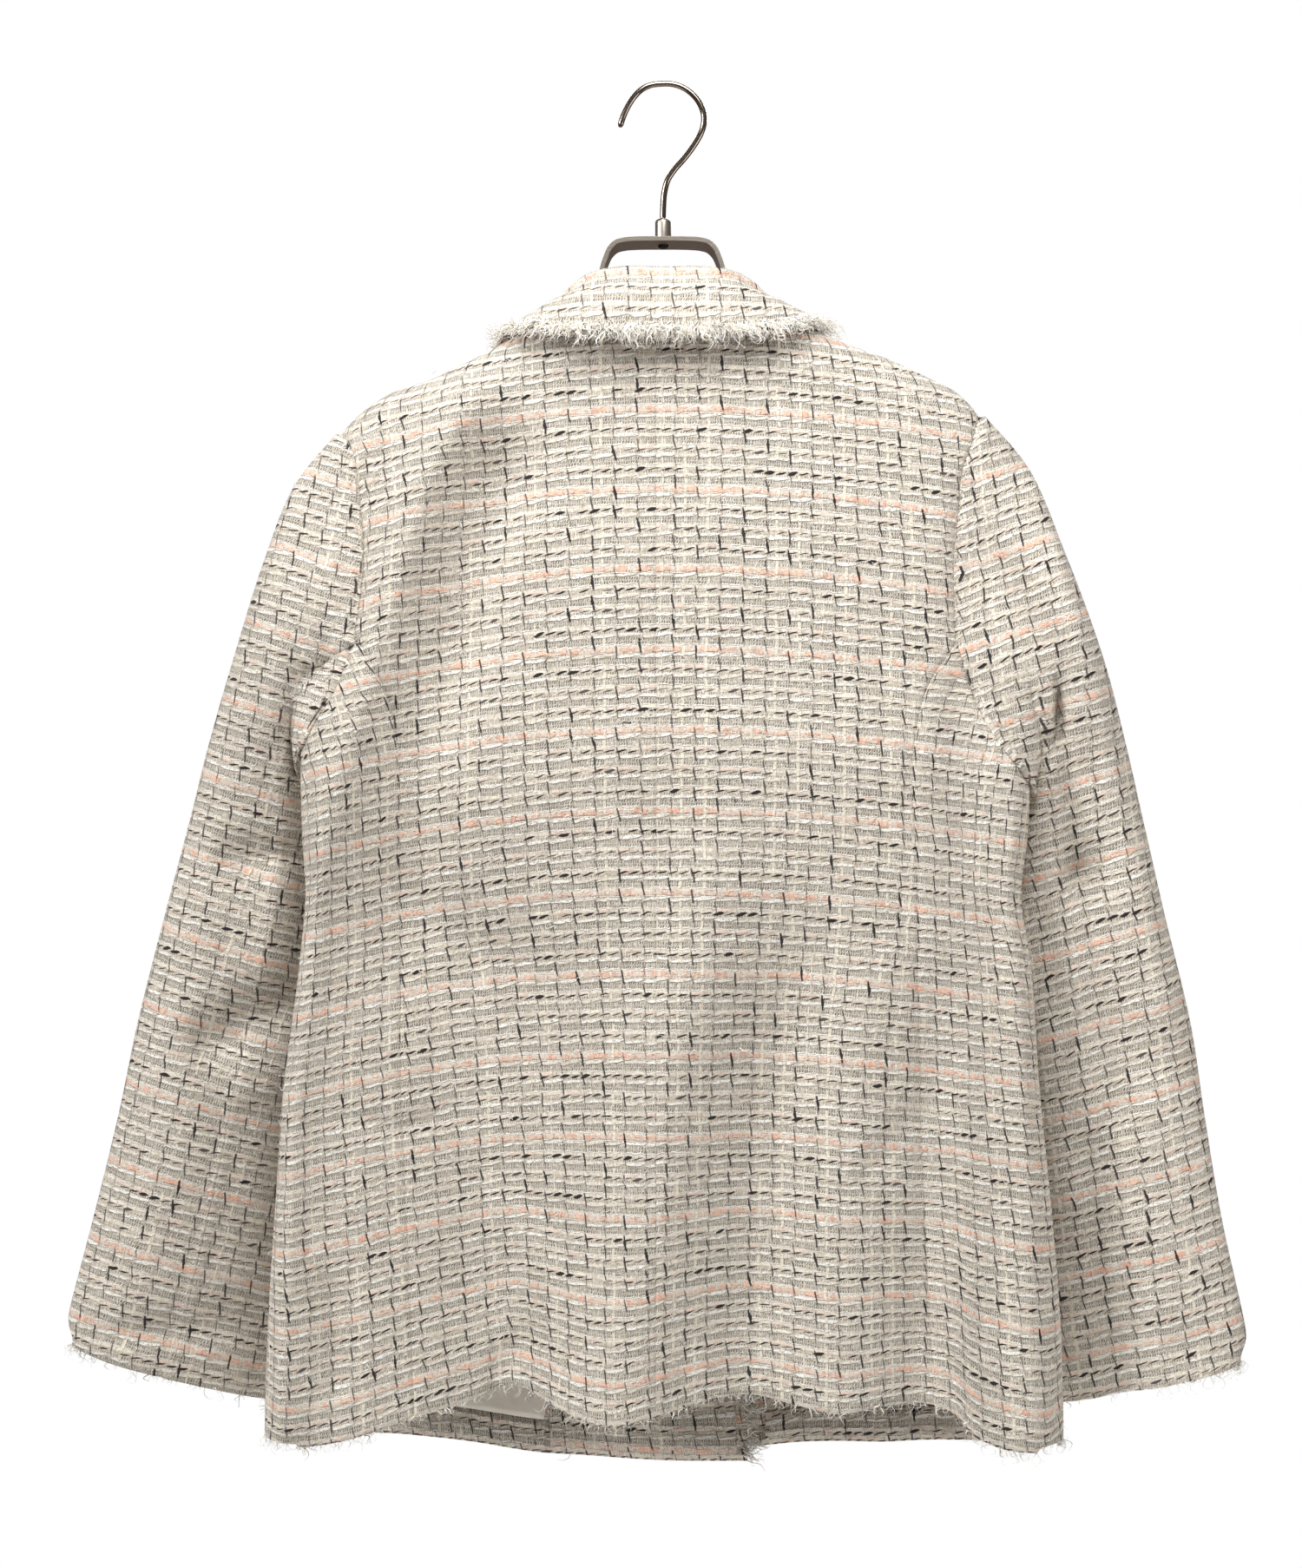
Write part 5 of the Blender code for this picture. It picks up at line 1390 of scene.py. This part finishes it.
def finishedMesh(holder):  # what the holder's modifier or curve gives, as a plain mesh
    bpy.context.view_layer.update()
    graph = bpy.context.evaluated_depsgraph_get()
    mesh = bpy.data.meshes.new_from_object(holder.evaluated_get(graph))
    bpy.data.objects.remove(holder, do_unlink=True)
    return mesh


def grownPiece(name, places, headings, reaches, tones, tree, inputs):
    seeds = bpy.data.meshes.new(name + "Seeds")
    seeds.vertices.add(len(places))
    seeds.vertices.foreach_set("co", (places * mm).astype(np.float32).ravel())
    for label, kind, key, values in (
        ("heading", "FLOAT_VECTOR", "vector", headings), ("reach", "FLOAT", "value", reaches),
        ("tone", "FLOAT", "value", tones),
    ):
        seeds.attributes.new(label, kind, "POINT").data.foreach_set(key, values.astype(np.float32).ravel())
    holder = newObject(name + "Holder", seeds)
    modifier = holder.modifiers.new("grow", "NODES")
    modifier.node_group = tree
    for item in tree.interface.items_tree:
        if item.item_type == "SOCKET" and item.in_out == "INPUT" and item.name in inputs:
            modifier[item.identifier] = inputs[item.name]
    made = newObject(name, finishedMesh(holder))
    made.data.name = name
    print(name, len(made.data.polygons), "faces")
    return made


def standFor(made, node):
    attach(made, "root")
    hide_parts(node)


fringeShape = {
    "curl": 1.5,
    "strands": (
        Strand(1.0, 0.024), Strand(0.9, 0.03), Strand(1.0, 0.026),
        Strand(0.6, 0.06), Strand(0.75, 0.05), Strand(1.0, 0.03),
    ),
    "clumps": ((1.6, 1.7), (0.9, 0.63)),  # how far strands bunch along the edge, and how often
    "leanWave": (0.6, 0.9),
    "lean": 0.3,  # what chance adds
    "liftSpread": 0.3,
    "lengthWave": (0.82, 0.18),
    "waveRates": (0.45, 1.1, 0.13),
    "shares": (0.4, 1.05),  # of the length that the wave gives
    "collar": {
        "perMetre": 6500, "length": 15.0, "droop": 0.1, "lift": 0.3,
        "depths": (-0.9, 0.4), "backs": (-6.5, 0.3),  # where the roots lie, off the cloth and past its edge
    },
    "front": {
        "perMetre": 3600, "length": 17.0, "droop": 0.25, "lift": -0.1,
        "depths": (-2.2, 0.1), "backs": (-3.0, 0.6),
    },
}
looseEnds = strandKit("looseEnd", fringeShape["strands"], fringeShape["curl"])
fringeTree = strandTree("growFringe", looseEnds, looseYarn, {"Size": 1.0, "Seed": 3})


def fringe(name, node, line, normals, outward, values, seed):
    shape = fringeShape
    rng = np.random.default_rng(seed)
    along = lengthsAlong(line)
    count = int(values["perMetre"] * along[-1] * mm)
    at = rng.uniform(0, along[-1], count)
    clumps = at
    for far, often in shape["clumps"]:
        clumps = clumps + far * np.sin(at * often)

    def read(table):
        return np.stack([np.interp(at, along, table[:, i]) for i in range(3)], axis=-1)

    normal, out = unit(read(normals)), unit(read(outward))
    side = unit(np.cross(normal, out))
    depth = rng.uniform(*values["depths"], count)[:, None]
    back = rng.uniform(*values["backs"], count)[:, None]
    place = read(line) + depth * normal + back * out
    sideways, rate = shape["leanWave"]
    lean = (sideways * np.sin(clumps * rate) + rng.normal(0, shape["lean"], count))[:, None]
    lift = rng.normal(values["lift"], shape["liftSpread"], count)[:, None]
    heading = unit(out + lean * side + lift * normal + values["droop"] * np.array([0, 0, -1.0]))
    mean, swing = shape["lengthWave"]
    quick, bend, slow = shape["waveRates"]
    wave = mean + swing * np.sin(at * quick + bend * np.sin(at * slow))
    reach = values["length"] * wave * rng.uniform(*shape["shares"], count)
    tones = rng.uniform(0, 1, count)
    made = grownPiece(name, place, heading, reach, tones, fringeTree, {"Size": 1.0, "Seed": seed})
    standFor(made, node)


collarOut = collarPoints[-1] - collarPoints[-3]
fringe(
    "collarFringe", "collar_fringe", collarPoints[-1], collarNormals[-1], unit(collarOut),
    fringeShape["collar"], 5,
)
for side, word in sideNames.items():
    points, normals = panels[side, True]
    fringe(
        f"frontFringe{word}", f"front_fringe_{word.lower()}", points[:, 0], normals[:, 0],
        unit(points[:, 0] - points[:, 2]), fringeShape["front"], 21 + side,
    )
print("frayed edges made")

fibreShape = {
    "count": 4200,
    "edgeCount": 1000,  # at the hem and the cuffs
    "length": (2.5, 7.0),
    "edgeGain": 1.25,  # how much longer those are
    "edgeSpread": 0.6,
    "lift": (0.05, 0.6),
    "sunk": 0.15,  # how far its root lies back along its heading
    "curl": 2.6,
    "strands": (Strand(1.0, 0.035), Strand(0.8, 0.05), Strand(1.0, 0.03), Strand(0.7, 0.06)),
    "seed": 19,
}


def looseFibres():
    shape = fibreShape
    rng = np.random.default_rng(shape["seed"])
    corners, normals, sizes = [], [], []
    for outer, turned in outsides:
        first, second = outer[1:, :-1] - outer[:-1, :-1], outer[:-1, 1:] - outer[:-1, :-1]
        corners.append(np.stack([outer[:-1, :-1], first, second], axis=2).reshape(-1, 3, 3))
        normals.append(turned[:-1, :-1].reshape(-1, 3))
        sizes.append(np.linalg.norm(np.cross(first, second), axis=-1).ravel())
    corners, normals, sizes = np.concatenate(corners), np.concatenate(normals), np.concatenate(sizes)
    picked = rng.choice(len(sizes), shape["count"], p=sizes / sizes.sum())
    share = rng.uniform(0, 1, (shape["count"], 2, 1))
    place = corners[picked, 0] + share[:, 0] * corners[picked, 1] + share[:, 1] * corners[picked, 2]
    away = normals[picked]
    heading = unit(np.cross(away, rng.normal(0, 1, away.shape)))
    heading = unit(heading + rng.uniform(*shape["lift"], len(away))[:, None] * away)
    hems = [panels[side, panel] for side in (-1, 1) for panel in (False, "side")]
    edges = [(outer[0], turned[0], outer[0] - outer[2]) for outer, turned in hems]
    edges += [(outer[-1], turned[-1], outer[-1] - outer[-3]) for outer, turned in sleeves]
    spots = rng.uniform(0, 1, (len(edges), shape["edgeCount"] // len(edges)))
    for (line, turned, out), along in zip(edges, spots):
        at = (along * (len(line) - 1)).astype(int)
        place = np.concatenate([place, line[at] - turned[at]])
        away = unit(out[at])
        heading = np.concatenate([heading, unit(away + rng.normal(0, shape["edgeSpread"], away.shape))])
    reach = rng.uniform(*shape["length"], len(place))
    reach[shape["count"]:] *= shape["edgeGain"]
    kit = strandKit("looseFibre", shape["strands"], shape["curl"])
    tree = strandTree("scatterFibres", kit, looseYarn, {"Size": 1.0, "Seed": 4})
    place = place - shape["sunk"] * heading
    tones = rng.uniform(0, 1, len(place))
    made = grownPiece("looseFibres", place, heading, reach, tones, tree, {"Size": 1.0, "Seed": 9})
    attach(made, "root")


looseFibres()
print("loose fibres made")

# hanger: a bent band under the shoulders, a ferrule, a wire hook and a rivet

hangerShape = {
    "thickness": 2.5,
    "halfDepth": 15.0,
    "neckHalfDepth": 6.0,
    "neckFrom": 37,
    "neckTo": 76,
    "arch": (
        Point(0, -88.7), Point(8, -88.7), Point(16, -88.9), Point(22, -89.4), Point(27, -90.8), Point(31, -94.5),
        Point(34, -101), Point(37, -110), Point(43, -121), Point(52, -134), Point(63, -143), Point(76, -147),
    ),
    "archStations": 60,
    "leftDrop": 4.0,
    "leftDropFrom": 30,
    "clothGap": 0.3,
    "clothRows": (-14, -9, -5, -2),  # from the shoulder line down, where the band lies under the cloth
    "clothColumns": (4, 33, 2),  # past the neck: first, stop and step
    "bevel": 0.5,
    "bevelAngle": 50,
    "sharpAngle": 40,
    "wire": 3.5,
    "wireRoundness": 6,
    "tipShare": 0.55,  # of the wire's radius, where its tip starts
    "hookStations": 140,
    "hookLine": (
        Point(-24.4, -23.2), Point(-22.6, -17.4), Point(-20.0, -11.7), Point(-16.6, -6.3), Point(-12.2, -1.8),
        Point(-6.8, 0.9), Point(-0.8, 1.75), Point(5.0, 1.7), Point(10.4, 0.3), Point(14.9, -2.2),
        Point(19.0, -5.9), Point(22.2, -10.8), Point(23.9, -16.0), Point(23.9, -21.2), Point(22.4, -26.4),
        Point(19.7, -31.5), Point(16.4, -36.4), Point(12.2, -41.8), Point(7.1, -47.6), Point(3.1, -53.8),
        Point(1.2, -61.0), Point(0.5, -70.0), Point(0.5, -88.6),
    ),
    "stemX": 0.5,
    "stemGap": 0.3,  # between the band and the ferrule or the rivet
    "ferrule": (  # radius, and height above its foot
        (2.1, 0), (4.2, 0), (4.6, 0.4), (4.6, 10), (4.4, 10.9), (3.8, 11.7), (2.8, 12.5), (2.1, 12.5),
    ),
    "rivet": ((0.4, 0), (3.2, 0), (3.0, -0.6), (2.6, -1.2), (1.8, -1.7), (0.4, -1.8)),
    "turns": 48,
}


def steelPiece(name, vertices, faces, look):
    mesh = bpy.data.meshes.new(name)
    mesh.from_pydata([tuple(float(c) * mm for c in vertex) for vertex in vertices], [], faces)
    mesh.shade_smooth()
    mesh.set_sharp_from_angle(angle=math.radians(hangerShape["sharpAngle"]))
    mesh.materials.append(look)
    return newObject(name, mesh)


def spun(name, profile, foot, look):
    turns, count = hangerShape["turns"], len(profile)
    angles = np.linspace(0, 2 * math.pi, turns, endpoint=False)
    stemX = hangerShape["stemX"]
    vertices = [
        (stemX + r * math.cos(angle), r * math.sin(angle), foot + height)
        for angle in angles for r, height in profile
    ]
    faces = []
    for k in range(turns):
        here, beyond = k * count, (k + 1) % turns * count
        for i in range(count):
            j = (i + 1) % count
            faces.append((here + i, here + j, beyond + j, beyond + i))
    return steelPiece(name, vertices, faces, look)


def hook():
    line = np.array(hangerShape["hookLine"])
    along = lengthsAlong(line)
    spots = np.linspace(0, along[-1], hangerShape["hookStations"])
    curve = bpy.data.curves.new("hook", "CURVE")
    curve.dimensions = "3D"
    curve.bevel_depth = hangerShape["wire"] / 2 * mm
    curve.bevel_resolution = hangerShape["wireRoundness"]
    curve.use_fill_caps = True
    spline = curve.splines.new("POLY")
    spline.points.add(len(spots) - 1)
    xs, zs = through(along, line[:, 0], spots), through(along, line[:, 1], spots)
    for k, (point, x, z) in enumerate(zip(spline.points, xs, zs)):
        point.co = (x * mm, 0, z * mm, 1)
        point.radius = mix(hangerShape["tipShare"], 1, math.sqrt(min(1, k / 2)))
    spline.use_smooth = True
    mesh = finishedMesh(newObject("hookCurve", curve))
    mesh.materials.clear()
    mesh.materials.append(wireSteel)
    return newObject("hookWire", mesh)


def bandHalf(side):  # cross-sections and their normals, from the arch's middle out along the shoulder
    shape = hangerShape
    arch = np.array(shape["arch"], float)
    keys = lengthsAlong(arch)
    spots = np.linspace(0, keys[-1], shape["archStations"])
    xs, zs = through(keys, arch[:, 0], spots), through(keys, arch[:, 1], spots)
    wide = 2 * len(shape["clothRows"]) + 1
    last = len(spots) - 1
    half = []
    for k, (x, z) in enumerate(zip(xs, zs)):
        narrowed = float(smoothStep(shape["neckFrom"], shape["neckTo"], x))
        depth = mix(shape["halfDepth"], shape["neckHalfDepth"], narrowed)
        before, after = max(k - 1, 0), min(k + 1, last)
        slope = math.atan2(zs[after] - zs[before], xs[after] - xs[before])
        dropped = float(smoothStep(shape["leftDropFrom"], shape["neckTo"], x)) if side < 0 else 0
        drop = shape["leftDrop"] * dropped
        section = np.array([(side * x, share * depth, z - drop) for share in np.linspace(-1, 1, wide)])
        half.append((section, np.array([(-side * math.sin(slope), 0, math.cos(slope))] * wide)))
    behindRows = list(shape["clothRows"])
    aheadRows = [-1] + behindRows[::-1]
    (behind, behindNormals), (ahead, aheadNormals) = panels[side, False], panels[side, True]
    first, stop, step = shape["clothColumns"]
    for j in range(clothGrid["neckColumns"] + first, clothGrid["neckColumns"] + stop, step):
        section = np.concatenate([behind[behindRows, j], ahead[aheadRows, j]])
        turned = np.concatenate([behindNormals[behindRows, j], aheadNormals[aheadRows, j]])
        half.append((section - (bodyShape["cloth"] + shape["clothGap"]) * turned, turned))
    return half


def hangerBand():
    sections = bandHalf(-1)[::-1] + bandHalf(1)[1:]
    vertices, faces = [], []
    for section, turned in sections:
        vertices += list(section) + list(section - hangerShape["thickness"] * turned)
    wide = len(sections[0][0])
    ring = 2 * wide
    loop = list(range(wide)) + list(range(ring - 1, wide - 1, -1))
    for k in range(len(sections) - 1):
        here, beyond = k * ring, (k + 1) * ring
        for a, b in zip(loop, loop[1:] + loop[:1]):
            faces.append((here + a, here + b, beyond + b, beyond + a))
    last = (len(sections) - 1) * ring
    for i in range(wide - 1):
        faces.append((i, wide + i, wide + i + 1, i + 1))
        faces.append((last + i, last + i + 1, last + wide + i + 1, last + wide + i))
    made = steelPiece("hangerBand", vertices, faces, steel)
    bevel = made.modifiers.new("rounded", "BEVEL")
    bevel.width = hangerShape["bevel"] * mm
    bevel.segments = 2
    bevel.limit_method = "ANGLE"
    bevel.angle_limit = math.radians(hangerShape["bevelAngle"])
    return made


standFor(hook(), "hook")
standFor(hangerBand(), "hanger_band")
bandTop = hangerShape["arch"][0].z
foot = bandTop + hangerShape["stemGap"]
standFor(spun("ferruleCap", hangerShape["ferrule"], foot, steel), "ferrule")
foot = bandTop - hangerShape["thickness"] - hangerShape["stemGap"]
standFor(spun("rivetHead", hangerShape["rivet"], foot, blackened), "stem_rivet")
print("hanger made")

# floor, light and camera, in metres

Lamp = namedtuple("Lamp", "place size power")
lightShape = {
    "lamps": {
        "key": Lamp((-2.8, -1.85, 0.9), 1.4, 96.0),
        "side": Lamp((0.98, -0.62, -0.4), 0.5, 3.3),
        "top": Lamp((0.15, -0.75, 0.55), 0.5, 8.5),
        "crown": Lamp((-0.04, -0.34, 0.42), 0.3, 2.6),
        "far": Lamp((0.3, 1.9, 0.9), 1.2, 34.0),
    },
    "target": (0, 0, -0.4),
    "around": 0.145,
    "aroundHigh": (1.0, 0.92, 0.8, 1.0),
    "aroundLow": (1.0, 0.76, 0.66, 1.0),
    "backdrop": (1.0, 1.0, 1.0, 1.0),
}
floorShape = {
    "z": -1.25,
    "radius": 1.15,
    "sides": 96,
    "roughness": 0.8,
    "white": screen(250, 250, 250),
    "grey": screen(236, 236, 236),
}
cameraShape = {
    "place": (-0.0065, -1.72, -0.4015),
    "halfHeight": 0.4515,  # half the height seen at y = 0
    "seesFrom": 0.05,
}


def paleFloor():
    shape = floorShape
    angles = [2 * math.pi * k / shape["sides"] for k in range(shape["sides"])]
    radius = shape["radius"]
    ring = [(radius * math.cos(angle), radius * math.sin(angle), shape["z"]) for angle in angles]
    mesh = bpy.data.meshes.new("floor")
    mesh.from_pydata(ring, [], [tuple(range(len(ring)))])
    made, b, shader = newMaterial("paleFloor")
    cloud = b.noise(b.node("ShaderNodeTexCoord").outputs["Object"], 3.0)
    b.plug(shader.inputs["Base Color"], b.blend(cloud * 0.1, shape["white"], shape["grey"]))
    shader.inputs["Roughness"].default_value = shape["roughness"]
    mesh.materials.append(made)
    newObject("floor", mesh)


def softLight(name, lamp):
    light = bpy.data.lights.new(name, "AREA")
    light.shape = "SQUARE"
    light.size = lamp.size
    light.energy = lamp.power
    made = newObject(name, light)
    made.location = lamp.place
    aim = Vector(lightShape["target"]) - Vector(lamp.place)
    made.rotation_euler = aim.to_track_quat("-Z", "Y").to_euler()


def studioWorld():  # a plain backdrop for the camera, and a faint glow that lights the cloth
    world = bpy.data.worlds.new("studio")
    world.use_nodes = True
    b = Board(world.node_tree)
    backdrop = world.node_tree.nodes["Background"]
    b.plug(backdrop.inputs["Color"], lightShape["backdrop"])
    height = b.split(b.node("ShaderNodeTexCoord").outputs["Generated"])[2]
    glow = b.blend(b.step(height, -0.3, 0.4), lightShape["aroundLow"], lightShape["aroundHigh"])
    around = b.node("ShaderNodeBackground", Color=glow, Strength=lightShape["around"])
    direct = b.node("ShaderNodeLightPath").outputs["Is Camera Ray"]
    both = b.node("ShaderNodeMixShader", _0=direct, _1=around.outputs[0], _2=backdrop.outputs[0])
    b.plug(world.node_tree.nodes["World Output"].inputs["Surface"], both.outputs[0])
    bpy.context.scene.world = world


paleFloor()
for word, lamp in lightShape["lamps"].items():
    softLight(f"{word}Light", lamp)
studioWorld()
bpy.context.scene.view_settings.view_transform = "Standard"

lens = bpy.data.cameras.new("camera")
lens.sensor_fit = "VERTICAL"
lens.angle = 2 * math.atan(cameraShape["halfHeight"] / -cameraShape["place"][1])
lens.clip_start = cameraShape["seesFrom"]
camera = newObject("camera", lens)
camera.location = cameraShape["place"]
camera.rotation_euler = (math.pi / 2, 0, 0)
bpy.context.scene.camera = camera
print("floor, lights and camera made")
